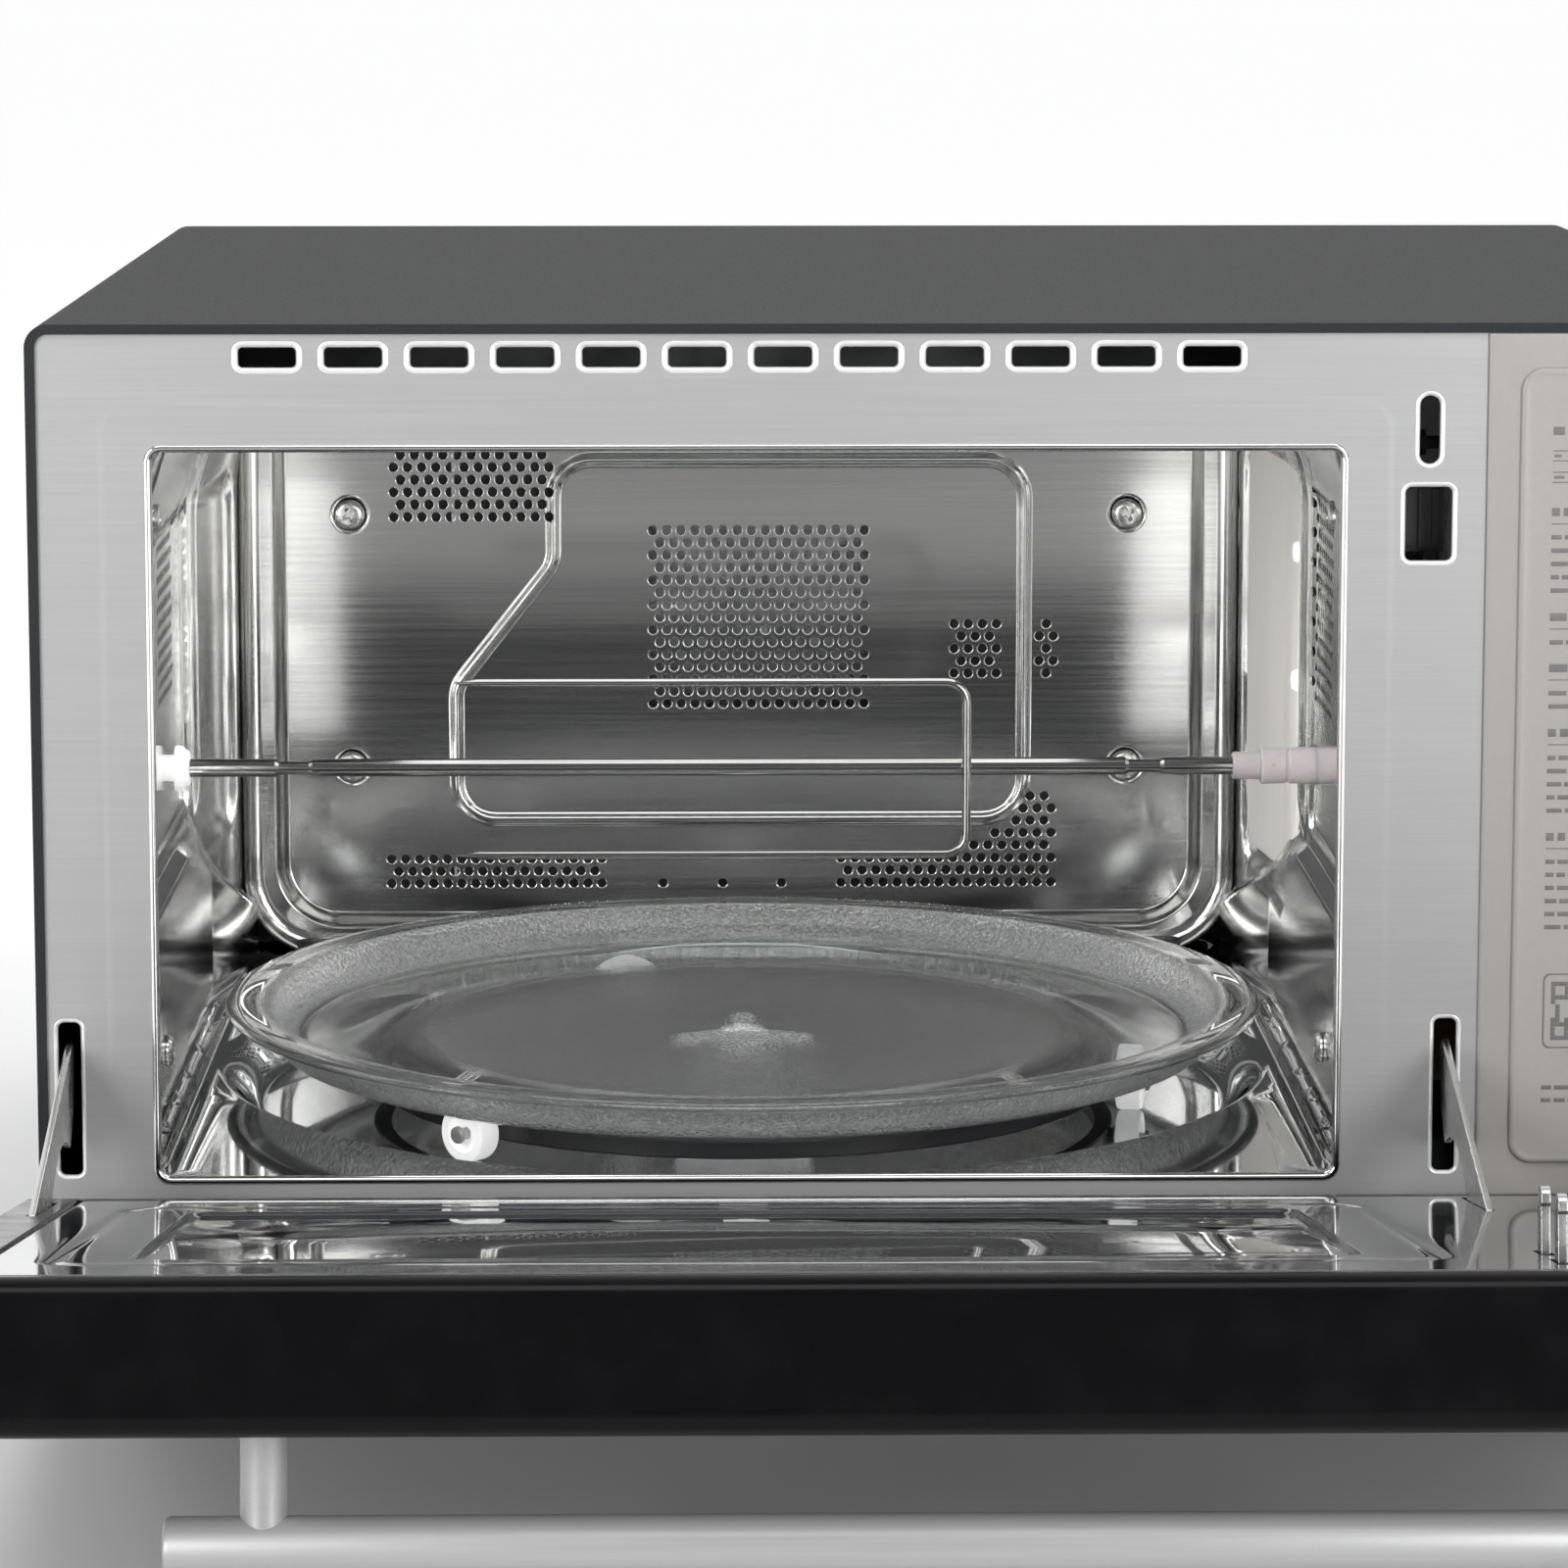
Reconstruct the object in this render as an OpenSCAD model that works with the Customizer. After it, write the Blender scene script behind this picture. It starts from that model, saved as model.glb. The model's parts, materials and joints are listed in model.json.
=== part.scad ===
// Microwave oven with a drop-down door, a glass turntable and a rotisserie spit.
// Millimetres, +Z up, the front faces -Y. The origin is under the middle of the
// whole object with its door open, on the surface that the feet stand on.
// Modules draw in a frame with y = 0 at the front plate's face, and place() moves them.

/* [Body] */
// Width of the casing
body_w = 530; // [520:1:560]
// Height of the casing's top above the table
body_h = 322; // [320:1:345]
// Depth of the casing behind the front plate
body_d = 453; // [450:1:480]
// Height of the rubber feet
foot_h = 12; // [10:1:16]
// Radius of the casing's upper corners
casing_r = 7; // [5:0.5:12]
// Thickness of the casing, the front plate and the floor
sheet_t = 1.2; // [1:0.1:1.5]
// Width of the casing's rim that shows round the front plate
casing_rim = 3; // [2.5:0.5:4]

/* [Cavity] */
// Width of the cavity opening
opening_w = 354; // [346:1:356]
// Height of the cavity opening
opening_h = 220; // [216:1:222]
// Middle of the opening, left of the casing's middle
opening_x = -51; // [-53:1:-50]
// Height of the opening's sill above the table
opening_z = 63.7; // [63:0.1:65]
// Depth of the cavity
cavity_d = 370; // [366:1:374]
// How far each side wall swells out past the opening
wall_swell = 12; // [9:1:13]
// Depth of the round recess in the floor
recess_h = 13.6; // [12:0.2:14]
// Radius of the round recess in the floor
recess_r = 168; // [160:1:172]

/* [Front plate] */
// Number of vent slots along the top
vent_count = 12; // [4:1:12]
// Distance from one vent slot to the next
vent_pitch = 25.5; // [24:0.5:26]
// Width of the panel beside the plate
panel_w = 92.6; // [90:0.2:93]

/* [Door] */
// Angle that the door opens to, from closed
door_open = 80.3; // [70:0.1:81]
// Thickness of the door
door_t = 40; // [36:1:44]
// Distance of the handle's axis in front of the door's glass
handle_reach = 30; // [26:1:36]
// Length of the handle
handle_w = 400; // [200:10:440]

/* [Turntable] */
// Radius of the glass tray
tray_r = 173; // [160:1:174]
// Radius of the circle that the rollers run on
roller_path_r = 131; // [120:1:135]
// Diameter of a roller
roller_d = 18.5; // [18:0.1:18.6]

/* [Rotisserie] */
// Height of the spit above the table
spit_z = 158.7; // [150:0.1:170]
// Diameter of the spit
spit_d = 6; // [5:0.5:7]
// Distance of each fork prong from the spit's axis
fork_half = 29; // [20:1:40]

/* [Fans] */
// Radius of the convection fan
convection_fan_r = 72; // [60:1:76]
// Radius of the cooling fan
cooling_fan_r = 42; // [36:1:44]

/* [Hidden] */
$fn = 48;

fit_gap = 0.05;        // radial clearance of a shaft in its hole
air_gap = 0.3;         // clearance between pieces that move past each other
cut = 1;               // how far a cutting tool runs past a face

half_w = body_w / 2;
shell_x = half_w - sheet_t;
plate_x0 = -half_w + casing_rim;
plate_x1 = half_w - casing_rim - panel_w;
plate_z0 = 37;
plate_z1 = body_h - casing_rim;
panel_x1 = half_w - casing_rim;
base_z = foot_h + sheet_t;

opening_z1 = opening_z + opening_h;
rim_w = 2.4;           // width of the rolled rim round the opening
rim_y0 = -0.6;
rim_y1 = 1.6;
wall_t = 1;            // thickness of the cavity's sheets
wall_front = opening_w / 2 + 1;
wall_mid = wall_front + wall_swell - 1;
wall_back = wall_front + 3;
ceiling_z = opening_z1 + rim_w;
floor_z = opening_z - 2.7;
recess_z = floor_z - recess_h;
ledge_y = cavity_d - 8; // front of the pressed ledge round the rear wall
centre_y = cavity_d / 2;
shell_z1 = ceiling_z + wall_t;

slot_w = 17.5;         // a vent slot, inside its coined edge
slot_h = 6.3;
coin_w = 21;           // the same slot, outside its coined edge
coin_h = 8.5;
coin_t = 0.5;          // depth of the coined edge
vent_z = 312;
vent_x0 = opening_x - 142.3;
latch_x = opening_x + 203.4;
latch_z = 290;
window_z = 261.8;

pivot_y = -30;
pivot_z = 37.3;
door_in = -3;          // inner face of the closed door
door_out = door_in - door_t;
door_z0 = 38;
door_z1 = body_h - 2;
door_r = 6;
barrel_r = 13;
glass_t = 4;
inner_t = 3;
arm_t = 2;
arm_x = [opening_x - 204.3, opening_x + 210.8];
ear_t = 3;
ear_r = 8.5;
ear_x = [arm_x[0] + 10, arm_x[1] - 10];
pin_r = 4;
pin_half = 12;
slot_z0 = 64.2;
slot_z1 = 111.4;
handle_z = 292;
handle_r = 8;
handle_y = door_out - handle_reach;
dial_x = 212;
dial_z = 110;
dial_r = 20;
dial_shaft_r = 3;
window_x0 = opening_x - 157.8;
window_x1 = opening_x + 153.5;
window_z0 = 103;
window_z1 = 262;

roller_gap = 0.3;
axle_z = recess_z + roller_gap + roller_d / 2;
tray_z = recess_z + 2 * roller_gap + roller_d;
tray_rim_z = tray_z + 16;
roller_angles = [-11.8, -132, -252];

convection_x = opening_x + 7.1;
convection_z = 184;
housing_y1 = 428;
housing_half = 112;
housing_z0 = 82;
housing_z1 = 284;
cooling_x = 205;
cooling_y = 405;
cooling_z = 236;
rear_y = body_d - 2.5; // front face of the rear panel
gland_x = 235;
gland_z = 42;
gland_y1 = body_d + 6;
heater_r = 3.3;        // radius of a sheathed heating tube

// With the door open its rounded outer edge is the front of the whole object.
edge_dy = door_out + door_r - pivot_y;
edge_dz = door_z1 - door_r - pivot_z;
front_reach = pivot_y + edge_dy * cos(door_open) - edge_dz * sin(door_open) - door_r;
front_y = -(front_reach + gland_y1) / 2;

// ---- Placing ----

module place() { translate([0, front_y, 0]) children(); }

// Draws the closed door and swings it open about its hinge pins.
module place_door()
    place() translate([0, pivot_y, pivot_z]) rotate([door_open, 0, 0])
        translate([0, -pivot_y, -pivot_z]) children();

// Stands a shape drawn in x and z upright, from y0 to y0 + t.
module upright(y0, t) translate([0, y0 + t, 0]) rotate([90, 0, 0]) linear_extrude(t) children();

// Runs a profile drawn in y and z along X, from x0 to x1.
module along_x(x0, x1) translate([x0, 0, 0]) rotate([90, 0, 90]) linear_extrude(x1 - x0) children();

module box(lo, hi) translate(lo) cube(hi - lo);

module rod_x(x0, x1, r) translate([x0, 0, 0]) rotate([0, 90, 0]) cylinder(h = x1 - x0, r = r);

module rod_y(y0, y1, r) translate([0, y0, 0]) rotate([-90, 0, 0]) cylinder(h = y1 - y0, r = r);

module rect(x0, y0, x1, y1) translate([x0, y0]) square([x1 - x0, y1 - y0]);

module round_rect(x0, y0, x1, y1, r) {
    rect(x0 + r, y0, x1 - r, y1);
    rect(x0, y0 + r, x1, y1 - r);
    for (x = [x0 + r, x1 - r], y = [y0 + r, y1 - r]) translate([x, y]) circle(r);
}

// A rounded slot of outer size w by h about a point.
module slot(x, y, w, h, r) round_rect(x - w / 2, y - h / 2, x + w / 2, y + h / 2, r);

// Staggered round holes: the odd rows have one hole fewer and sit half a pitch along.
module perforations(x0, y0, cols, rows, pitch_x = rear_pitch_x, pitch_y = rear_pitch_z, r = vent_r)
    for (row = [0:rows - 1], col = [0:cols - 1 - row % 2])
        translate([x0 + (col + (row % 2) / 2) * pitch_x, y0 + row * pitch_y]) circle(r, $fn = 16);

// The same holes through a side wall, where every row has as many.
module side_holes(y0, z0, cols, rows, x0, x1)
    for (row = [0:rows - 1], k = [0:cols - 1])
        translate([0, y0 + (k + (row % 2) / 2) * side_pitch_y, z0 + row * side_pitch_z])
            rod_x(x0, x1, vent_r, $fn = 16);

// ---- Outer body ----

module casing_profile(inset, r) {
    x = half_w - inset;
    z1 = body_h - inset;
    rect(-x, base_z, x, z1 - r);
    rect(-x + r, base_z, x - r, z1);
    for (s = [-1, 1]) translate([s * (x - r), z1 - r]) circle(r);
}

module outer_casing() place() color([0.13, 0.13, 0.14]) difference() {
    upright(-1, body_d + 1) casing_profile(0, casing_r);
    upright(0.2, body_d - 0.2 - sheet_t) casing_profile(sheet_t, casing_r - sheet_t);
    upright(-1 - cut, 2 * cut + 0.3) casing_profile(casing_rim, casing_r - casing_rim);
    upright(body_d - sheet_t - cut, 2 * cut + sheet_t) casing_profile(12, 4);
    box([-half_w - cut, -1 - cut, 0], [half_w + cut, body_d + cut, base_z]);
    box([-shell_x, -1 - cut, base_z - cut], [shell_x, body_d + cut, base_z + 0.2]);
    for (s = [-1, 1], k = [0:8])
        box([s * half_w - 3, 330 + k * 10, 190], [s * half_w + 3, 334 + k * 10, 250]);
    for (p = casing_screw_places) translate([p[0], 0, p[1]]) rod_y(440, body_d + cut, 2);
}

casing_screw_places = [[-258, 80], [-258, 240], [258, 80], [258, 240], [-120, body_h - 7],
    [120, body_h - 7]];

module casing_screws() place() color([0.75, 0.75, 0.74])
    for (p = casing_screw_places) translate([p[0], 0, p[1]]) {
        rod_y(rear_y - 4, body_d, 2);
        rod_y(body_d, body_d + 2, 4);
    }

module base_plate() place() color([0.62, 0.63, 0.63]) difference() {
    box([-shell_x + 0.4, 1.4, foot_h], [shell_x - 0.4, rear_y, base_z]);
    for (k = [0:9]) box([165, 110 + k * 12, 0], [225, 114 + k * 12, 20]);
}

module rear_panel() place() color([0.66, 0.67, 0.67]) difference() {
    upright(rear_y, body_d - sheet_t - rear_y)
        rect(-shell_x + 0.2, base_z, shell_x - 0.2, body_h - sheet_t - 0.2);
    for (s = [-1, 1]) upright(rear_y - cut, 5)
        rect(s * shell_x - 8, body_h - 9, s * shell_x + 8, body_h);
    for (row = [0:3], k = [0:7])
        upright(rear_y - cut, 5) rect(150 + k * 12, 200 + row * 20, 158 + k * 12, 214 + row * 20);
    for (row = [0:3], k = [0:11])
        upright(rear_y - cut, 5) rect(-200 + k * 12, 230 + row * 16, -192 + k * 12, 240 + row * 16);
    for (p = casing_screw_places) translate([p[0], 0, p[1]]) rod_y(440, body_d, 2);
    translate([gland_x, 0, gland_z]) rod_y(440, body_d, 9);
}

module mains_gland() place() color([0.1, 0.1, 0.1]) translate([gland_x, 0, gland_z]) difference() {
    union() {
        rod_y(rear_y - 3, gland_y1, 9);
        rod_y(body_d - sheet_t, gland_y1, 12);
    }
    rod_y(rear_y - 3 - cut, gland_y1 + cut, 4);
}

module feet() place() color([0.1, 0.1, 0.1])
    for (x = [-225, 225], y = [45, 405]) translate([x, y, 0]) cylinder(h = foot_h, r1 = 11, r2 = 14);

// ---- Front ----

module front_cuts(grow) {
    w = opening_w / 2 + rim_w;
    round_rect(opening_x - w, opening_z - rim_w, opening_x + w, ceiling_z, 5);
    for (k = [0:vent_count - 1])
        slot(vent_x0 + k * vent_pitch, vent_z, slot_w + grow * (coin_w - slot_w),
            slot_h + grow * (coin_h - slot_h), 1.4 + grow);
    slot(latch_x, latch_z, 6.2 + 2.7 * grow, 20.6 + 1.8 * grow, 3 + 1.3 * grow);
    slot(latch_x, window_z, 14.2 + 2.3 * grow, 22.4 + 2.6 * grow, 1 + 0.5 * grow);
    for (x = arm_x) slot(x, (slot_z0 + slot_z1) / 2, 7 + 2 * grow, slot_z1 - slot_z0 + 2 * grow, 2);
}

module front_plate() place() color([0.71, 0.71, 0.71]) {
    upright(0, coin_t) difference() {
        plate_outline();
        front_cuts(1);
    }
    upright(coin_t, sheet_t - coin_t) difference() {
        plate_outline();
        front_cuts(0);
    }
}

module plate_outline() {
    r = casing_r - casing_rim;
    rect(plate_x0, plate_z0, plate_x1, plate_z1 - r);
    rect(plate_x0 + r, plate_z0, plate_x1, plate_z1);
    translate([plate_x0 + r, plate_z1 - r]) circle(r);
}

module cavity_rim() place() color([0.85, 0.85, 0.84]) upright(rim_y0, rim_y1 - rim_y0) difference() {
    w = opening_w / 2;
    round_rect(opening_x - w - rim_w, opening_z - rim_w, opening_x + w + rim_w, ceiling_z, 5);
    round_rect(opening_x - w, opening_z, opening_x + w, opening_z1, 3);
}

module lower_trim() place() color([0.12, 0.12, 0.13]) difference() {
    along_x(plate_x0, panel_x1) difference() {
        rect(-12, base_z + 0.2, 1.3, plate_z0 - 0.4);
        rect(-10, base_z + 2.2, 1.3 + cut, plate_z0 - 2.4);
    }
    for (x = ear_x) box([x - ear_t / 2 - 0.8, -13, 20], [x + ear_t / 2 + 0.8, -8, plate_z0]);
}

module side_panel() place() color([0.78, 0.76, 0.73]) upright(-1.2, 2.6) difference() {
    r = casing_r - casing_rim;
    union() {
        rect(plate_x1, plate_z0, panel_x1, plate_z1 - r);
        rect(plate_x1, plate_z0, panel_x1 - r, plate_z1);
        translate([panel_x1 - r, plate_z1 - r]) circle(r);
    }
    insert_outline(-3);
}

module insert_outline(grow) {
    x0 = plate_x1 + 9.8 - grow;
    x1 = panel_x1 - 7 + grow;
    round_rect(x0, 67.1 - grow, x1, 308.7 + grow, 5.5 + grow / 2);
}

module panel_insert() place() color([0.8, 0.78, 0.75]) {
    upright(-2.4, 1.2) insert_outline(0);
    upright(-1.2, 2.6) insert_outline(-3);
}

// ---- Cavity ----

// Plan of a side wall's inner face, from the front to the back, as distances from the middle.
wall_path = [[wall_front, rim_y1], [wall_front, 12], [wall_mid, 34], [wall_mid, cavity_d - 34],
    [wall_back, ledge_y], [wall_back, cavity_d + wall_t]];

module wall_plan() polygon(concat(wall_path,
    [for (k = [len(wall_path) - 1:-1:0]) wall_path[k] + [wall_t, 0]]));

module side_wall() translate([opening_x, 0, floor_z]) linear_extrude(ceiling_z - floor_z) children();

module cavity_left_wall() place() color([0.8, 0.8, 0.79]) difference() {
    side_wall() mirror([1, 0]) wall_plan();
    translate([0, centre_y, spit_z]) rod_x(-half_w, opening_x - 150, 4.5);
    side_holes(158, 185, 8, 12, -half_w, opening_x - 150);
}

module cavity_right_wall() place() color([0.8, 0.8, 0.79]) difference() {
    side_wall() wall_plan();
    translate([0, centre_y, spit_z]) rod_x(opening_x + 150, half_w, 6.7);
    side_holes(142, 182, 8, 15, opening_x + 150, half_w);
    box([opening_x + 150, 245, 190], [half_w, 295, 250]);
}

module cavity_ceiling() place() color([0.8, 0.8, 0.79]) difference() {
    box([opening_x - wall_mid - wall_t, rim_y1, ceiling_z],
        [opening_x + wall_mid + wall_t, cavity_d + wall_t, shell_z1]);
    for (k = [0:11]) box([opening_x - 120, 118 + k * 12, 280], [opening_x + 120, 122 + k * 12, 300]);
}

module cavity_floor() place() color([0.7, 0.7, 0.7]) translate([opening_x, 0, 0]) difference() {
    union() {
        box([-wall_mid - wall_t, rim_y1, floor_z - wall_t],
            [wall_mid + wall_t, cavity_d + wall_t, floor_z]);
        translate([0, centre_y, recess_z - wall_t])
            cylinder(h = recess_h, r = recess_r + wall_t);
    }
    translate([0, centre_y, recess_z]) cylinder(h = recess_h + cut, r = recess_r, $fn = 96);
    translate([0, centre_y, 0]) cylinder(h = 100, r = 8);
}

screw_places = [for (x = [-142, 142], z = [129, 222]) [x, z]];
vent_r = 1.75;         // radius of a perforation
rear_pitch_x = 5.16;
rear_pitch_z = 4.57;
side_pitch_y = 6;
side_pitch_z = 5;
screen_pitch_x = 11;
screen_pitch_z = 10.5;

module rear_holes() {
    perforations(-31.5, 151.9, 16, 15);
    perforations(-126, 221, 12, 10);
    perforations(79, 163, 4, 5);
    perforations(37.6, 85, 16, 3);
    perforations(-128, 85, 16, 3);
    for (x = [-28, -6, 15.6]) translate([x, 85]) circle(vent_r, $fn = 16);
    corner_rows = [6, 5, 3, 3, 2];
    for (row = [0:4], k = [0:corner_rows[row] - 1])
        translate([112.4 + 2.6 * (row % 2) - k * rear_pitch_x, 98.9 + row * rear_pitch_z])
            circle(vent_r, $fn = 16);
}

module cavity_rear_wall() place() color([0.75, 0.75, 0.74]) translate([opening_x, 0, 0]) {
    upright(cavity_d, wall_t) difference() {
        rect(-wall_back, floor_z, wall_back, ceiling_z);
        rear_holes();
        for (p = screw_places) translate(p) circle(2);
    }
    upright(ledge_y, cavity_d - ledge_y) difference() {
        rect(-wall_back, floor_z, wall_back, ceiling_z);
        round_rect(-169.3, 72, 169.3, ceiling_z + 20, 14);
    }
}

module cavity_screws() place() color([0.82, 0.82, 0.8]) {
    translate([opening_x, 0, 0]) for (p = screw_places) translate([p[0], 0, p[1]]) {
        rod_y(cavity_d - 2.6, cavity_d, 5.4);
        rod_y(cavity_d, cavity_d + 8, 2);
    }
}

module waveguide_cover() place() color([0.85, 0.83, 0.79])
    box([opening_x + wall_mid - 1.2, 225, 108], [opening_x + wall_mid, 328, 256]);

module waveguide() place() color([0.7, 0.7, 0.7]) difference() {
    box([opening_x + wall_mid + wall_t, 240, 185], [175, 300, 265]);
    box([opening_x + wall_mid + wall_t - cut, 242, 187], [173, 298, 263]);
    translate([0, 270, 240]) rod_x(170, 180, 9);
}

module magnetron() place() color([0.6, 0.6, 0.62]) {
    translate([0, 270, 240]) rod_x(160, 180, 8);
    for (k = [0:6]) box([180 + k * 8, 235, 205], [183 + k * 8, 305, 275]);
    translate([0, 270, 240]) rod_x(180, 232, 18);
    box([176, 240, 210], [180, 300, 270]);
}

module hv_transformer() place() color([0.45, 0.36, 0.3]) {
    box([170, 290, base_z], [250, 350, 85]);
    box([182, 276, 30], [238, 290, 75]);
    box([182, 350, 30], [238, 364, 75]);
}

module hv_capacitor() place() color([0.7, 0.7, 0.72]) {
    translate([0, 0, base_z]) linear_extrude(70) round_rect(165, 384, 225, 416, 14);
    for (x = [185, 205]) translate([x, 400, base_z + 70]) cylinder(h = 10, r = 3);
}

module power_board() place() color([0.15, 0.35, 0.2]) {
    box([170, 80, 34], [255, 230, 35.6]);
    for (x = [175, 245], y = [90, 220]) translate([x, y, base_z]) cylinder(h = 34 - base_z, r = 3);
    box([180, 100, 35.6], [205, 130, 60]);
    box([215, 100, 35.6], [245, 120, 55]);
    for (k = [0:2]) translate([190 + k * 22, 160, 35.6]) cylinder(h = 22, r = 8);
    box([180, 190, 35.6], [240, 205, 50]);
}

module cavity_lamp() place() color([0.95, 0.93, 0.85]) translate([0, 168, 212]) {
    rod_x(opening_x + wall_mid + wall_t + 2, 152, 9);
    rod_x(152, 170, 12);
}

module grill_reflector() place() color([0.75, 0.75, 0.75]) difference() {
    box([opening_x - 135, 108, shell_z1], [opening_x + 135, 262, shell_z1 + 20]);
    box([opening_x - 133, 110, shell_z1 - cut], [opening_x + 133, 260, shell_z1 + 18]);
    for (x = [-60, 60]) translate([opening_x + x, 260, shell_z1 + 9]) rod_y(-5, 5, heater_r);
}

// Two runs and a return bend of sheathed tube.
module grill_heater() place() color([0.35, 0.34, 0.33])
    translate([opening_x, 0, shell_z1 + 9]) {
        for (x = [-60, 60]) translate([x, 0, 0]) rod_y(180, 272, heater_r);
        translate([0, 180, 0]) rotate([0, 0, 180])
            rotate_extrude(angle = 180) translate([60, 0]) circle(heater_r);
    }

module convection_housing() place() color([0.72, 0.72, 0.72]) difference() {
    box([convection_x - housing_half, cavity_d + wall_t, housing_z0],
        [convection_x + housing_half, housing_y1, housing_z1]);
    box([convection_x - housing_half + 1, cavity_d, housing_z0 + 1],
        [convection_x + housing_half - 1, housing_y1 - 1, housing_z1 - 1]);
    translate([convection_x, 0, convection_z]) rod_y(housing_y1 - 5, housing_y1 + 5, 6);
    for (x = [-12, 12]) translate([convection_x + x, 0, convection_z + 88])
        rod_y(housing_y1 - 5, housing_y1 + 5, heater_r);
}

module ring_heater() place() color([0.35, 0.34, 0.33]) translate([convection_x, 0, convection_z]) {
    translate([0, 390, 0]) rotate([90, 0, 0]) rotate([0, 0, 97.8])
        rotate_extrude(angle = 344.4) translate([88.8, 0]) circle(heater_r);
    for (x = [-12, 12]) translate([x, 0, 88]) rod_y(390, housing_y1 + 8, heater_r);
}

module convection_motor() place() color([0.6, 0.6, 0.6])
    translate([convection_x, 0, convection_z]) difference() {
        rod_y(housing_y1, rear_y - 2, 34);
        rod_y(housing_y1 - cut, housing_y1 + 12, 2.5 + fit_gap);
    }

// A wheel of flat radial blades on a backing disc.
module fan_wheel(r, depth, hub_r, blades) {
    rod_y(0, 2, r);
    rod_y(0, depth, hub_r);
    for (k = [0:blades - 1]) rotate([0, k * 360 / blades, 0])
        box([hub_r - 1, -depth + 2, -1], [r - 1, 0, 1]);
}

module convection_fan() place() color([0.75, 0.75, 0.74]) translate([convection_x, 0, convection_z]) {
    translate([0, 400, 0]) fan_wheel(convection_fan_r, 22, 10, 10);
    rod_y(422, housing_y1 + 11.5, 2.5);
}

module cooling_motor() place() color([0.5, 0.4, 0.3]) translate([cooling_x, 0, cooling_z]) difference() {
    union() {
        rod_y(433, rear_y - 1, 18);
        box([-28, 436, -12], [28, 446, 12]);
    }
    rod_y(430, 445, 2.5 + fit_gap);
}

module cooling_fan() place() color([0.2, 0.2, 0.2]) translate([cooling_x, 0, cooling_z]) {
    translate([0, cooling_y, 0]) fan_wheel(cooling_fan_r, 18, 9, 7);
    rod_y(cooling_y + 18, 444.5, 2.5);
}

module fan_shroud() place() color([0.2, 0.2, 0.2]) difference() {
    box([150, 384, 185], [shell_x - 1, 386, 290]);
    translate([cooling_x, 0, cooling_z]) rod_y(380, 390, cooling_fan_r + 2);
}

// ---- Turntable ----

module turn() place() translate([opening_x, centre_y, 0]) children();

module turntable_motor() turn() color([0.75, 0.75, 0.74]) difference() {
    union() {
        translate([0, 0, 28]) cylinder(h = recess_z - wall_t - 28, r = 24);
        box([-33, -8, recess_z - wall_t - 2], [33, 8, recess_z - wall_t]);
    }
    translate([0, 0, 32]) cylinder(h = 40, r = 3 + fit_gap);
}

module turntable_coupler() turn() color([0.88, 0.88, 0.86]) {
    translate([0, 0, 33]) cylinder(h = tray_z - 34, r = 3);
    translate([0, 0, recess_z + 3]) cylinder(h = tray_z - recess_z - 3, r = 8);
    for (a = [90, 210, 330]) rotate([0, 0, a]) {
        box([0, -3.5, tray_z - 6], [22, 3.5, tray_z]);
        translate([22, 0, tray_z - 6]) cylinder(h = 6, r = 3.5);
    }
}

module glass_tray() turn() color([0.8, 0.85, 0.82, 0.4]) rotate_extrude($fn = 128) polygon([
    [0, tray_z], [150, tray_z], [158, tray_z + 5], [161, tray_rim_z - 4], [tray_r - 2, tray_rim_z - 3],
    [tray_r, tray_rim_z - 1], [tray_r - 1, tray_rim_z], [160, tray_rim_z], [157, tray_rim_z - 3],
    [154, tray_z + 8], [148, tray_z + 4], [0, tray_z + 4]]);

module roller_ring() turn() color([0.12, 0.12, 0.12]) {
    translate([0, 0, axle_z - 3]) rotate_extrude($fn = 96) rect(118, 0, 124, 6);
    for (a = roller_angles) rotate([0, 0, a]) translate([0, 0, axle_z]) {
        rod_x(122, 137.5, 2);
        rod_x(roller_path_r + 4.5, 137.5, 3);
    }
}

module roller(angle) turn() color([0.93, 0.93, 0.92]) rotate([0, 0, angle])
    translate([0, 0, axle_z]) difference() {
        rod_x(roller_path_r - 4, roller_path_r + 4, roller_d / 2);
        rod_x(100, 150, 2 + fit_gap);
        rod_x(roller_path_r + 2.5, 150, 6);
    }

module roller_1() roller(roller_angles[0]);
module roller_2() roller(roller_angles[1]);
module roller_3() roller(roller_angles[2]);

// ---- Rotisserie ----

module spit_line() place() translate([opening_x, centre_y, spit_z]) children();

module rotisserie_motor() spit_line() color([0.6, 0.6, 0.6]) difference() {
    box([198, -20, -20], [224, 20, 20]);
    rod_x(190, 212, 3.5 + fit_gap);
}

module spit_bush() spit_line() color([0.93, 0.93, 0.92]) difference() {
    union() {
        rod_x(-wall_mid, -wall_mid + 4, 6.2);
        rod_x(-wall_mid - 5, -wall_mid, 4.5);
    }
    rod_x(-wall_mid - 3, -100, spit_d / 2 + fit_gap);
}

module spit() spit_line() color([0.78, 0.78, 0.77]) {
    rod_x(-wall_mid - 2.5, -155, spit_d / 2);
    rod_x(-155, -144, 2.2);
    rod_x(-144, 128, spit_d / 2);
    rod_x(128, 140, 2.2);
    rod_x(140, 172.7, spit_d / 2);
}

module spit_coupler() spit_line() color([0.92, 0.85, 0.86]) {
    difference() {
        rod_x(163.5, 172.7, 4.6);
        rod_x(160, 172.7, spit_d / 2);
    }
    rod_x(172.7, 192.6, 6.2);
    rod_x(192.6, 210, 3.5);
}

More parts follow.
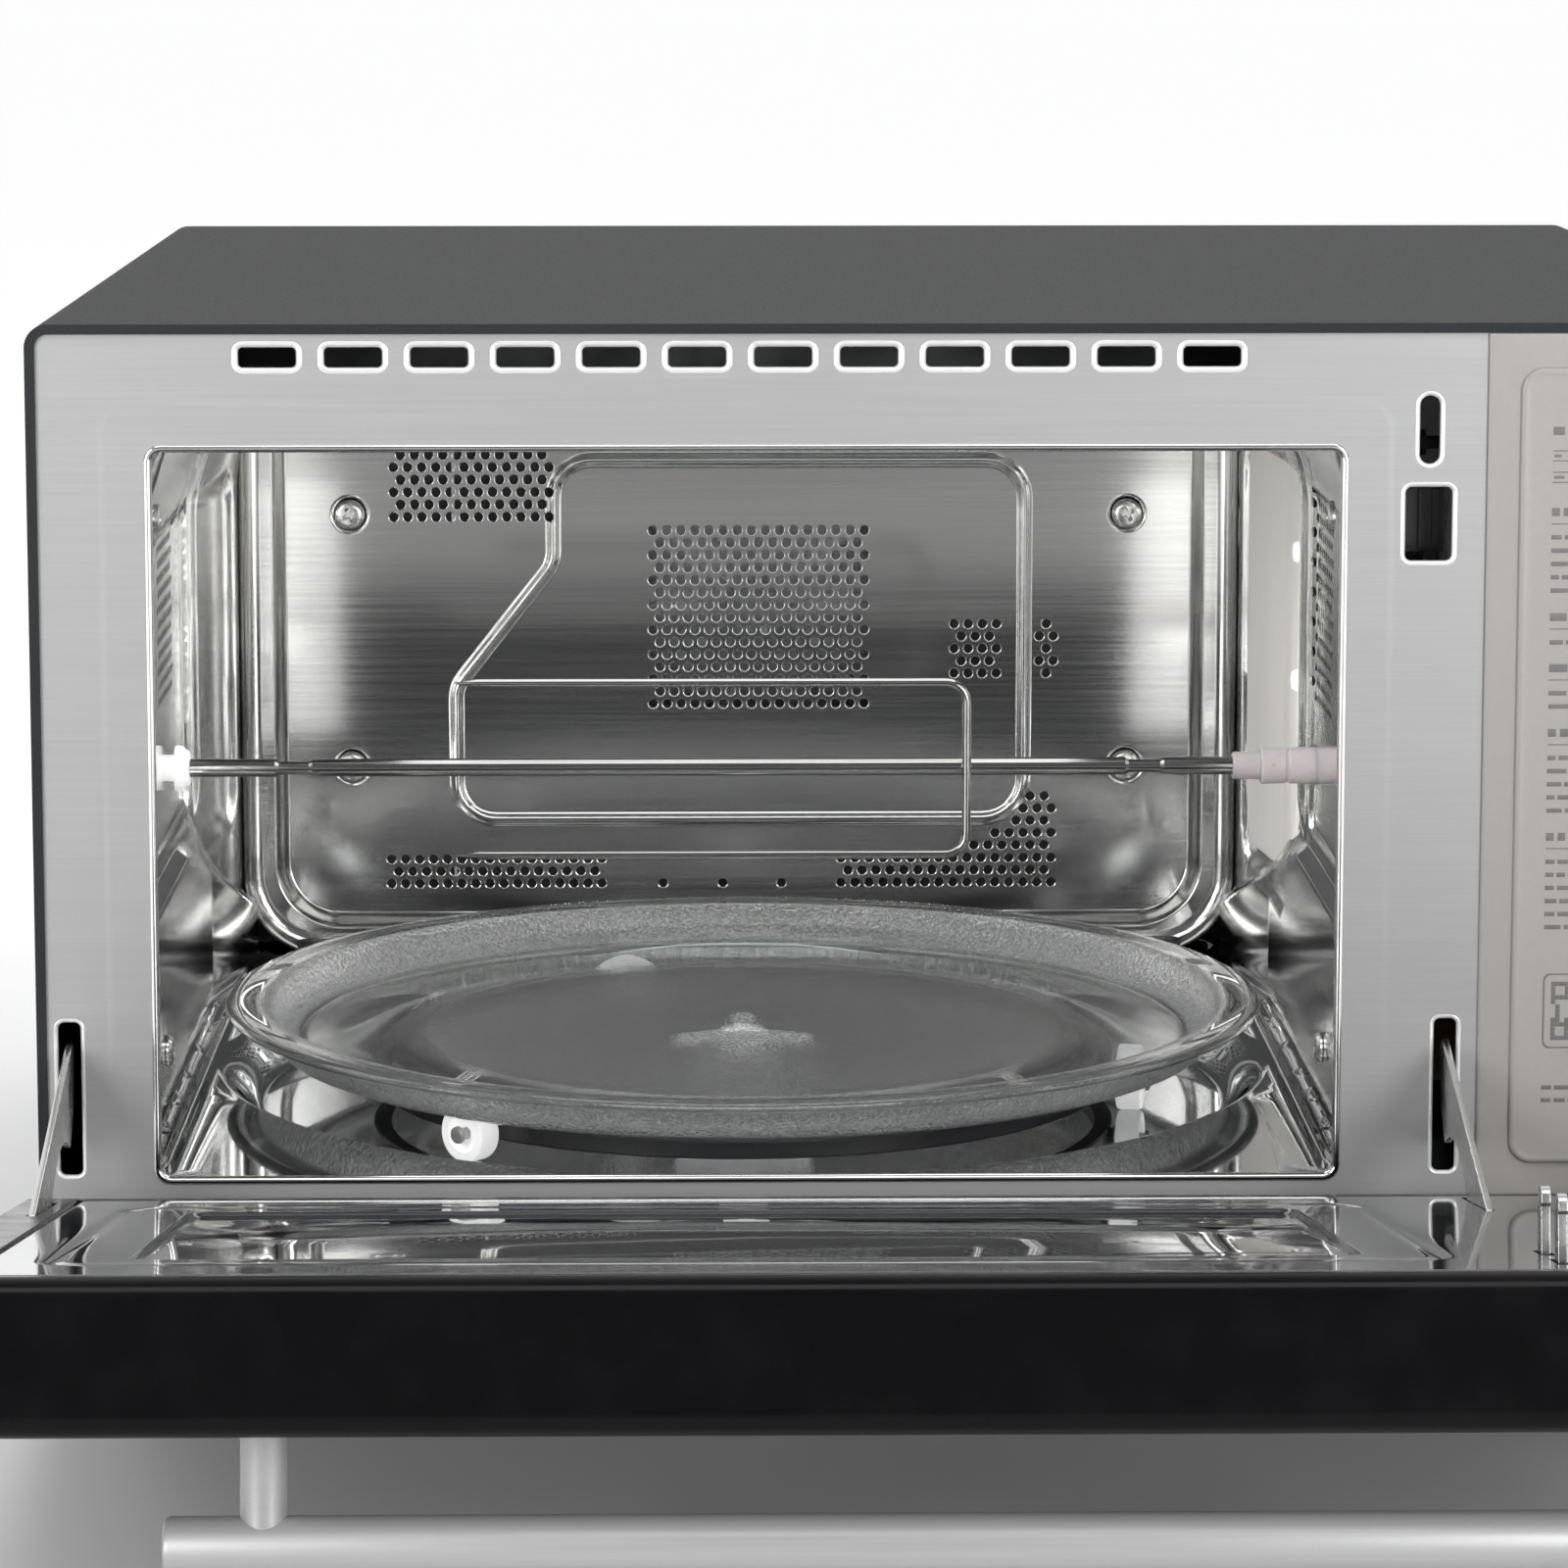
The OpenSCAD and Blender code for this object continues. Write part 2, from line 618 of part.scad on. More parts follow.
module spit_fork() spit_line() color([0.8, 0.8, 0.79]) {
    r = 1.5;
    bend = 6.5;
    x1 = 74.5;
    translate([0, -spit_d / 2 - r, 0]) for (s = [-1, 1]) {
        translate([0, 0, s * fork_half]) rod_x(-88, x1 - bend, r);
        translate([-88, 0, s * fork_half]) rotate([0, -90, 0]) cylinder(h = 8, r1 = r, r2 = 0.2);
        translate([x1 - bend, 0, s * (fork_half - bend)]) rotate([90, 0, 0]) rotate([0, 0, s > 0 ? 0 : -90])
            rotate_extrude(angle = 90) translate([bend, 0]) circle(r);
        translate([x1, 0, min(0, s * (fork_half - bend))]) cylinder(h = fork_half - bend, r = r);
    }
}

// ---- Door catch and hinges ----

lever_y = 42;
lever_z = 282;
lever_r = 2;

module interlock_bracket() place() color([0.9, 0.9, 0.88]) difference() {
    box([latch_x - 13, 10, 240], [latch_x + 13, 66, 308]);
    box([latch_x - 11, 10 - cut, 242], [latch_x + 11, 64, 306]);
    translate([0, lever_y, lever_z]) rod_x(latch_x - 20, latch_x + 20, lever_r + fit_gap);
}

module interlock_lever() place() color([0.08, 0.08, 0.08]) {
    box([latch_x - 6.5, 17, 251.5], [latch_x + 6.5, 20, 272]);
    for (k = [0:2]) box([latch_x - 5 + k * 4, 16, 253], [latch_x - 3 + k * 4, 17, 270.5]);
    box([latch_x - 2, 20, 266], [latch_x + 2, lever_y, 272]);
    box([latch_x - 2, lever_y - 4, 266], [latch_x + 2, lever_y + 2, lever_z]);
    translate([0, lever_y, lever_z]) rod_x(latch_x - 12.5, latch_x + 12.5, lever_r);
    translate([0, lever_y, lever_z]) rod_x(latch_x - 4, latch_x + 4, 4);
}

module door_switches() place() color([0.12, 0.12, 0.13]) for (z = [243, 254, 295])
    box([latch_x - 5, 50, z], [latch_x + 5, 64, z + 9]);

module hinge_brackets() place() color([0.68, 0.68, 0.68]) for (x = ear_x) {
    along_x(x - ear_t / 2, x + ear_t / 2) difference() {
        union() {
            translate([pivot_y, pivot_z]) circle(ear_r);
            rect(pivot_y, pivot_z - ear_r, 60, pivot_z - 4);
            rect(4, base_z, 60, pivot_z - 4);
        }
        translate([pivot_y, pivot_z]) circle(pin_r + fit_gap);
    }
    box([x - 8, 4, base_z], [x + 8, 60, base_z + 1.5]);
}

module hinge_pins() place_door() color([0.75, 0.75, 0.74])
    for (x = ear_x) translate([0, pivot_y, pivot_z]) rod_x(x - pin_half, x + pin_half, pin_r);

// The arm's outline about the pivot with the door closed: its foot in the door, a straight
// outer edge, and an inner end that stays inside the slot when the door is open.
module arm_outline() difference() {
    polygon([[14, 32], [14, 72], [27, 74], [72, -18.1], [70.4, -22.9], [52, -22], [41, -14],
        [35, 10], [27, 32]]);
    circle(43, $fn = 96);
}

module hinge_arms() place_door() color([0.8, 0.8, 0.8])
    for (x = arm_x) translate([0, pivot_y, pivot_z]) along_x(x - arm_t / 2, x + arm_t / 2)
        arm_outline();

// ---- Door ----

// The glass on the door's outside, and the liner on its inside, as seen from the front.
module face_outline() rect(-half_w + 6, door_z0 + 14, half_w - 6, door_z1 - 7);
module liner_outline() rect(-half_w + 16, door_z0 + 14, half_w - 8, door_z1 - 8);

module door_profile() {
    round_rect(door_out, door_z0, door_in, door_z1, door_r);
    rect(door_out, pivot_z, door_out + 2 * door_r, door_z0 + 2 * door_r);
    translate([pivot_y, pivot_z]) circle(barrel_r);
}

module door_frame() place_door() color([0.06, 0.06, 0.07]) difference() {
    along_x(-half_w, half_w) door_profile();
    upright(door_out - cut, glass_t + cut) face_outline();
    upright(door_in - inner_t, inner_t + cut) liner_outline();
    box([window_x0 - 14, -12, window_z0 - 14], [window_x1 + 14, door_in, window_z1 + 14]);
    box([window_x0 - 8, door_out, window_z0 - 8], [window_x1 + 8, door_in, window_z1 + 8]);
    box([172, door_out, 60], [254, -14, 304]);
    box([latch_x - 4, -32, 240], [latch_x + 4, door_in, 306]);
    for (x = ear_x) {
        box([x - ear_t / 2 - 0.8, pivot_y - 15, 0], [x + ear_t / 2 + 0.8, pivot_y + 15, pivot_z + 10]);
        translate([0, pivot_y, pivot_z]) rod_x(x - pin_half, x + pin_half, pin_r);
    }
    translate([0, pivot_y, pivot_z]) for (x = arm_x)
        box([x - arm_t / 2, 14, 25], [x + arm_t / 2, 40, 76]);
}

module door_glass() place_door() color([0.03, 0.03, 0.035, 0.9]) upright(door_out, glass_t)
    difference() {
        face_outline();
        translate([dial_x, dial_z]) circle(dial_shaft_r + 0.5);
    }

module door_inner_panel() place_door() color([0.16, 0.17, 0.18]) upright(door_in - inner_t, inner_t)
    difference() {
        liner_outline();
        rect(window_x0, window_z0, window_x1, window_z1);
        rect(arm_x[1] - 1.4, 60, arm_x[1] + 1.4, pivot_z + 76);
        for (z = [latch_z, window_z]) slot(latch_x, z - 1, 4, 18, 1.9);
    }

module door_window() place_door() color([0.1, 0.1, 0.11, 0.7])
    box([window_x0, door_in - 2.6, window_z0], [window_x1, door_in - 0.8, window_z1]);

module door_screen() place_door() color([0.3, 0.3, 0.3]) upright(-12, 0.8) difference() {
    rect(window_x0 - 14, window_z0 - 14, window_x1 + 14, window_z1 + 14);
    perforations(window_x0 + 6, window_z0 + 5, 28, 15, screen_pitch_x, screen_pitch_z, 3);
}

module door_handle() place_door() color([0.62, 0.63, 0.64]) translate([0, 0, handle_z]) {
    translate([0, handle_y, 0]) rod_x(-handle_w / 2, handle_w / 2, handle_r);
    for (s = [-1, 1]) translate([s * (handle_w / 2 - 25), 0, 0]) rod_y(handle_y, door_out, 6);
}

// One stamped plate with two hooks that reach through the door's inner panel.
module door_latch() place_door() color([0.82, 0.82, 0.8]) along_x(latch_x - 1.2, latch_x + 1.2) {
    rect(-26, 246, -12, 300);
    for (z = [latch_z, window_z]) {
        rect(-14, z - 4, 10, z + 2);
        translate([11.5, z]) circle(3);
        rect(10, z - 3, 11.5, z + 3);
    }
}

module control_dial() place_door() color([0.7, 0.7, 0.71]) translate([dial_x, 0, dial_z]) {
    rod_y(door_out - 18, door_out - air_gap, dial_r);
    rod_y(door_out - air_gap - 1, -28, dial_shaft_r);
}

module control_board() place_door() color([0.15, 0.35, 0.2]) difference() {
    union() {
        box([176, -37, 80], [250, -35.4, 300]);
        box([dial_x - 9, -35.4, dial_z - 9], [dial_x + 9, -26, dial_z + 9]);
        box([180, -39, 220], [246, -37, 280]);
    }
    translate([dial_x, 0, dial_z]) rod_y(-40, -27, dial_shaft_r + fit_gap);
}

outer_casing();
base_plate();
rear_panel();
front_plate();
cavity_rim();
lower_trim();
side_panel();
panel_insert();
cavity_left_wall();
cavity_right_wall();
cavity_ceiling();
cavity_floor();
cavity_rear_wall();
cavity_screws();
casing_screws();
feet();
waveguide_cover();
waveguide();
magnetron();
hv_transformer();
hv_capacitor();
power_board();
cavity_lamp();
grill_heater();
grill_reflector();
convection_housing();
ring_heater();
convection_motor();
convection_fan();
cooling_motor();
cooling_fan();
fan_shroud();
turntable_motor();
turntable_coupler();
glass_tray();
roller_ring();
roller_1();
roller_2();
roller_3();
rotisserie_motor();
spit_bush();
spit();
spit_fork();
spit_coupler();
interlock_bracket();
interlock_lever();
door_switches();
hinge_brackets();
mains_gland();
door_frame();
door_glass();
door_inner_panel();
door_window();
door_screen();
door_handle();
hinge_arms();
hinge_pins();
door_latch();
control_dial();
control_board();
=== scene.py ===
"""Looks of the microwave oven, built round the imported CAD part.

Shapes are drawn in "drawing" millimetres: x across, y back from the front plate's face, z up from
the table. frame_points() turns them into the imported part's metres. X written as OX + ... counts from
the middle of the cavity opening.
"""

import json
import math
import random

import bmesh
import bpy
import numpy as np
from mathutils import Matrix, Vector
from mathutils.geometry import delaunay_2d_cdt

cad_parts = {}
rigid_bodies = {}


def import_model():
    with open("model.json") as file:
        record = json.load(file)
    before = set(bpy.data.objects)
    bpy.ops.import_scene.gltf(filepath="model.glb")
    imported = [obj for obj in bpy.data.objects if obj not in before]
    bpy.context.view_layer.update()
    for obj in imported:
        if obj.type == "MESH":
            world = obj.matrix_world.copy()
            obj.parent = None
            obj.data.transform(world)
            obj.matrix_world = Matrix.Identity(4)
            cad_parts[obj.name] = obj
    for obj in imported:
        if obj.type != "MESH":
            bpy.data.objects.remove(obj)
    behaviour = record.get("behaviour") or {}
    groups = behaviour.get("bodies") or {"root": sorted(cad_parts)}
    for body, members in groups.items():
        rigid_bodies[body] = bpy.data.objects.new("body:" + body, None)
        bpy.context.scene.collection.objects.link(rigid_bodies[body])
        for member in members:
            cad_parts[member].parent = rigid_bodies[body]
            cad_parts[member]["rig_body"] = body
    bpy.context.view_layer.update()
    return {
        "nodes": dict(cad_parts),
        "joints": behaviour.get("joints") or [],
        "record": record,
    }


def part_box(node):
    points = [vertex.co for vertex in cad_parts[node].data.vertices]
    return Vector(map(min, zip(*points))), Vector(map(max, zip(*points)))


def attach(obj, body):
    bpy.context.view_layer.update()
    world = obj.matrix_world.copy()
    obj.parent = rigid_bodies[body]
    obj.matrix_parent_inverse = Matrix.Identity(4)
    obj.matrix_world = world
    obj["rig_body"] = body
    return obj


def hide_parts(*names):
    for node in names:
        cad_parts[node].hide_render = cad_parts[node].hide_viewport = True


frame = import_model()

MM = 0.001
rng = random.Random(7)


# ---- Places and sizes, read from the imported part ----

def box_mm(node):
    lo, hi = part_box(node)
    return np.array(lo) / MM - SHIFT, np.array(hi) / MM - SHIFT


SHIFT = np.array([0.0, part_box("front_plate")[0].y / MM, 0.0])
rim_lo, rim_hi = box_mm("cavity_rim")
plate_lo, plate_hi = box_mm("front_plate")
tray_lo, tray_hi = box_mm("glass_tray")
spit_lo, spit_hi = box_mm("spit")
rear_lo, rear_hi = box_mm("cavity_rear_wall")

OX = (rim_lo[0] + rim_hi[0]) / 2
RIM = 2.4
OPEN_HALF = (rim_hi[0] - rim_lo[0]) / 2 - RIM
OPEN_Z0 = rim_lo[2] + RIM
OPEN_Z1 = rim_hi[2] - RIM
CEILING = box_mm("cavity_ceiling")[0][2]
FLOOR = box_mm("cavity_floor")[1][2]
CY = (tray_lo[1] + tray_hi[1]) / 2
TRAY_R = (tray_hi[0] - tray_lo[0]) / 2
BACK = rear_hi[1] - 1
LEDGE = rear_lo[1]
SPIT_Z = (spit_lo[2] + spit_hi[2]) / 2

hinge = next(j for j in frame["joints"] if j["name"] == "door_hinge")
HINGE = Vector(hinge["pos_m"])
OPEN_ANGLE = math.radians(hinge["range_deg"][1])
SWING = (Matrix.Translation(HINGE) @ Matrix.Rotation(OPEN_ANGLE, 4, "X")
         @ Matrix.Translation(-HINGE))


def frame_points(points):
    return (np.asarray(points, float).reshape(-1, 3) + SHIFT) * MM


# ---- Camera ----

cam_data = bpy.data.cameras.new("camera")
cam_data.lens = 126.1
cam_data.sensor_width = 36
cam_data.shift_y = -0.1
cam_data.clip_start = 0.05
cam_data.clip_end = 40
camera = bpy.data.objects.new("camera", cam_data)
bpy.context.scene.collection.objects.link(camera)
camera.location = Vector(frame_points([OX - 13.66, -1624.5, 454.8])[0])
camera.rotation_euler = (math.radians(90 - 7.839), 0, math.radians(-0.868))
bpy.context.scene.camera = camera


# ---- Materials ----

mats = {}


def node_material(name):
    mat = bpy.data.materials.new(name)
    mat.use_nodes = True
    tree = mat.node_tree
    tree.nodes.clear()
    out = tree.nodes.new("ShaderNodeOutputMaterial")
    shader = tree.nodes.new("ShaderNodeBsdfPrincipled")
    tree.links.new(shader.outputs["BSDF"], out.inputs["Surface"])
    mats[name] = mat
    return tree, shader


def grain_noise(tree, stretch, scale=1.0, detail=3.0):
    """Noise in the piece's own coordinates, stretched: a small number along an axis makes long grain."""
    coord = tree.nodes.new("ShaderNodeTexCoord")
    mapping = tree.nodes.new("ShaderNodeMapping")
    mapping.inputs["Scale"].default_value = stretch
    noise = tree.nodes.new("ShaderNodeTexNoise")
    noise.inputs["Scale"].default_value = scale
    noise.inputs["Detail"].default_value = detail
    tree.links.new(coord.outputs["Object"], mapping.inputs["Vector"])
    tree.links.new(mapping.outputs["Vector"], noise.inputs["Vector"])
    return noise


def remap(tree, value, lo, hi, to_lo=0.0, to_hi=1.0, kind="LINEAR"):
    """Carries the range lo..hi of a socket's value to to_lo..to_hi."""
    node = tree.nodes.new("ShaderNodeMapRange")
    node.interpolation_type = kind
    for name, number in (("From Min", lo), ("From Max", hi), ("To Min", to_lo), ("To Max", to_hi)):
        node.inputs[name].default_value = number
    tree.links.new(value, node.inputs["Value"])
    return node.outputs["Result"]


def calc(tree, kind, *terms):
    """A Math node on sockets or numbers."""
    node = tree.nodes.new("ShaderNodeMath")
    node.operation = kind
    for k, term in enumerate(terms):
        if isinstance(term, (int, float)):
            node.inputs[k].default_value = term
        else:
            tree.links.new(term, node.inputs[k])
    return node.outputs["Value"]


def spread(tree, noise, lo, hi):
    """A value that follows the noise between lo and hi."""
    return remap(tree, noise.outputs["Fac"], 0.3, 0.7, lo, hi)


def tint(tree, noise, dark, light):
    ramp = tree.nodes.new("ShaderNodeValToRGB")
    ramp.color_ramp.elements[0].position = 0.32
    ramp.color_ramp.elements[1].position = 0.68
    ramp.color_ramp.elements[0].color = (*dark, 1)
    ramp.color_ramp.elements[1].color = (*light, 1)
    tree.links.new(noise.outputs["Fac"], ramp.inputs["Fac"])
    return ramp.outputs["Color"]


def bump(tree, noise, shader, strength, distance):
    node = tree.nodes.new("ShaderNodeBump")
    node.inputs["Strength"].default_value = strength
    node.inputs["Distance"].default_value = distance
    tree.links.new(noise.outputs["Fac"], node.inputs["Height"])
    tree.links.new(node.outputs["Normal"], shader.inputs["Normal"])


def finish(name, colour, rough, metal=0.0, vary=0.06, rough_vary=0.25, stretch=(90, 90, 90),
           relief=0.0, coat=0.0, **sockets):
    """A finish whose colour and roughness both follow a noise, with a little relief."""
    tree, shader = node_material(name)
    noise = grain_noise(tree, stretch)
    dark = tuple(c * (1 - vary) for c in colour)
    light = tuple(min(1, c * (1 + vary)) for c in colour)
    tree.links.new(tint(tree, noise, dark, light), shader.inputs["Base Color"])
    tree.links.new(spread(tree, noise, rough * (1 - rough_vary), rough * (1 + rough_vary)),
                   shader.inputs["Roughness"])
    shader.inputs["Metallic"].default_value = metal
    shader.inputs["Coat Weight"].default_value = coat
    for key, value in sockets.items():
        shader.inputs[key.replace("_", " ")].default_value = value
    if relief:
        bump(tree, noise, shader, 0.3, relief)
    return tree, shader


ALONG_X = (14, 1400, 1400)
ALONG_Z = (900, 900, 9)

# colour, roughness, metal, how far colour and roughness vary, the grain's stretch, relief in metres
finish("satin_steel", (0.425, 0.43, 0.425), 0.38, 0.3, 0.025, 0.1, ALONG_X, 4e-6)
# a lighter copy of the front plate's steel for the slot lips: painted highlight
finish("lip_steel", (0.86, 0.86, 0.85), 0.2, 0.35, 0.02, 0.2, (200, 200, 200))
finish("rim_steel", (0.80, 0.80, 0.79), 0.16, 1, 0.03, 0.2, (60, 60, 60))
finish("bright_steel", (0.80, 0.80, 0.79), 0.14, 1, 0.05, 0.2, (300, 300, 300))
finish("rear_steel", (0.52, 0.52, 0.51), 0.13, 1, 0.06, 0.12, ALONG_X, 2e-6)
finish("wall_steel", (0.84, 0.84, 0.83), 0.12, 1, 0.03, 0.12, ALONG_Z, 5e-7)
# the floor's steel is much darker than the walls' steel: painted shade
finish("floor_steel", (0.40, 0.41, 0.41), 0.05, 1, 0.05, 0.3, (40, 40, 40))
finish("galvanised", (0.58, 0.60, 0.61), 0.42, 0.9, 0.16, 0.2, (70, 70, 70))
finish("zinc_steel", (0.72, 0.72, 0.71), 0.24, 1, 0.05, 0.25, (120, 120, 120))
finish("wire_steel", (0.42, 0.42, 0.41), 0.16, 1, 0.05, 0.25, (20, 500, 500))
finish("aluminium", (0.72, 0.73, 0.74), 0.3, 1, 0.05, 0.2, (200, 200, 200))
finish("casing_paint", (0.03, 0.031, 0.033), 0.55, 0, 0.1, 0.12, (900, 900, 900), 1e-5,
       Specular_IOR_Level=0.08)
finish("greige_plastic", (0.34, 0.325, 0.31), 0.38, 0, 0.015, 0.1, (500, 500, 500), 1e-5)
finish("black_plastic", (0.02, 0.02, 0.022), 0.4, 0, 0.15, 0.2, (300, 300, 300), 1e-5)
finish("gloss_black", (0.0035, 0.0035, 0.004), 0.2, 0, 0.1, 0.25, (60, 60, 60), Specular_IOR_Level=0.14)
finish("smoke_panel", (0.030, 0.033, 0.037), 0.12, 0, 0.1, 0.2, (50, 50, 50), coat=0.8)
finish("black_glass", (0.004, 0.004, 0.005), 0.05, 0, 0.05, 0.3, (40, 40, 40), coat=0.8)
finish("smoke_glass", (0.010, 0.011, 0.013), 0.05, 0, 0.1, 0.3, (40, 40, 40), coat=0.8)
finish("white_plastic", (0.86, 0.86, 0.85), 0.3, 0, 0.012, 0.15, (200, 200, 200))
# white plastic with a faint emission, though it is no lamp: painted light
finish("bright_plastic", (0.93, 0.93, 0.92), 0.3, 0, 0.012, 0.15, (200, 200, 200),
       Emission_Color=(1, 1, 1, 1), Emission_Strength=0.4)
# the mica's faint emission is painted light, lifting the cover where little light reaches it
finish("mica", (0.92, 0.89, 0.85), 0.45, 0, 0.035, 0.15, (60, 60, 14), 2e-5,
       Emission_Color=(1, 0.97, 0.93, 1), Emission_Strength=0.08)
finish("rubber", (0.02, 0.02, 0.02), 0.7, 0, 0.15, 0.1, (400, 400, 400), 2e-5)
finish("heater_sheath", (0.12, 0.11, 0.10), 0.45, 0.8, 0.2, 0.2, (150, 150, 150), 2e-5)
finish("copper_iron", (0.30, 0.17, 0.09), 0.42, 0.7, 0.3, 0.25, (60, 60, 500), 3e-5)
finish("board", (0.03, 0.16, 0.07), 0.38, 0, 0.2, 0.2, (220, 220, 220))
finish("lamp_glass", (0.92, 0.90, 0.82), 0.2, 0, 0.03, 0.2, (100, 100, 100))
finish("print_grey", (0.16, 0.155, 0.15), 0.5, 0, 0.1, 0.1, (300, 300, 300))
finish("print_pale", (0.55, 0.56, 0.57), 0.4, 0, 0.05, 0.1, (300, 300, 300))
finish("pin_grey", (0.42, 0.42, 0.41), 0.45, 0.6, 0.15, 0.2, (400, 400, 400))
# near-black for the pads of painted shade behind the rear wall's holes
finish("dark_gap", (0.008, 0.008, 0.009), 0.5, 0, 0.2, 0.1, (200, 200, 200))
finish("frosted_plastic", (0.92, 0.84, 0.86), 0.32, 0, 0.03, 0.15, (150, 150, 150),
       Subsurface_Weight=0.6, Subsurface_Scale=0.004, Transmission_Weight=0.25)


def tray_glass():
    """Clear glass: a stippled ring up the tray's side, and a finely frosted middle."""
    tree, shader = node_material("clear_glass")
    new, link = tree.nodes.new, tree.links.new
    shader.inputs["IOR"].default_value = 1.5
    coord = new("ShaderNodeTexCoord")
    centre = frame_points([OX, CY, 0])[0]
    flat = new("ShaderNodeVectorMath")
    flat.operation = "MULTIPLY"
    flat.inputs[1].default_value = (1, 1, 0)
    link(coord.outputs["Object"], flat.inputs[0])
    away = new("ShaderNodeVectorMath")
    away.operation = "DISTANCE"
    away.inputs[1].default_value = (centre[0], centre[1], 0)
    link(flat.outputs["Vector"], away.inputs[0])

    def band(inner, outer, soft):
        """1 between two radii, in metres."""
        return calc(tree, "MULTIPLY", remap(tree, away.outputs["Value"], inner - soft, inner + soft),
                    remap(tree, away.outputs["Value"], outer + soft, outer - soft))

    frost = band(-0.02, 0.104, 0.012)
    stipple = band(0.1495, 0.161, 0.0012)
    fine = grain_noise(tree, (950, 950, 950), 1.0, 1)
    coarse = grain_noise(tree, (650, 650, 650), 1.0, 1)
    mixed = new("ShaderNodeMix")
    mixed.data_type = "FLOAT"
    link(stipple, mixed.inputs[0])
    link(fine.outputs["Fac"], mixed.inputs[2])
    link(coarse.outputs["Fac"], mixed.inputs[3])
    relief = new("ShaderNodeBump")
    relief.inputs["Distance"].default_value = 0.0008
    link(mixed.outputs[0], relief.inputs["Height"])
    link(calc(tree, "MAXIMUM", calc(tree, "MULTIPLY", frost, 0.5), stipple), relief.inputs["Strength"])
    link(relief.outputs["Normal"], shader.inputs["Normal"])
    link(remap(tree, stipple, 0, 1, 0.97, 0.75), shader.inputs["Transmission Weight"])
    speck = calc(tree, "MULTIPLY", remap(tree, fine.outputs["Fac"], 0.42, 0.58),
                 calc(tree, "MAXIMUM", frost, stipple))
    hue = new("ShaderNodeMix")
    hue.data_type = "RGBA"
    hue.inputs[6].default_value = (0.95, 0.97, 0.96, 1)
    hue.inputs[7].default_value = (0.66, 0.67, 0.67, 1)
    link(speck, hue.inputs[0])
    link(hue.outputs[2], shader.inputs["Base Color"])
    link(remap(tree, frost, 0, 1, 0.02, 0.07), shader.inputs["Roughness"])


tray_glass()


# ---- Building meshes ----

def make(name, points, faces, mat, body="oven", slot=None, stands_for=(), swing=False, sharp=32,
         normals=None, recalc=True):
    """One piece, from drawing millimetres. swing takes a piece of the closed door to its open place."""
    pts = frame_points(points)
    turn = SWING if swing else Matrix.Identity(4)
    across = np.array(turn.to_3x3()).T
    if swing:
        pts = pts @ across + np.array(turn.translation)
    mesh = bpy.data.meshes.new(name)
    mesh.from_pydata(pts.tolist(), [], [tuple(int(i) for i in f) for f in faces])
    if recalc:
        bm = bmesh.new()
        bm.from_mesh(mesh)
        bmesh.ops.recalc_face_normals(bm, faces=bm.faces)
        bm.to_mesh(mesh)
        bm.free()
    mesh.polygons.foreach_set("use_smooth", [True] * len(mesh.polygons))
    if normals is None:
        mesh.set_sharp_from_angle(angle=math.radians(sharp))
    else:
        mesh.normals_split_custom_set((np.asarray(normals) @ across).tolist())
    mesh.materials.append(mats[mat])
    place(name, mesh, body, mat, slot, stands_for)


SLOTS = {part["material_slot"] for part in frame["record"]["subparts"]}


def place(name, mesh, body, mat, slot=None, stands_for=()):
    """Puts a mesh on its body. Its slot, the one named or else its material's if the part has it, is
    worked out but not kept.
    """
    slot = slot or (mat if mat in SLOTS else None)
    obj = bpy.data.objects.new(name, mesh)
    bpy.context.scene.collection.objects.link(obj)
    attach(obj, body)
    if stands_for:
        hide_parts(*stands_for)


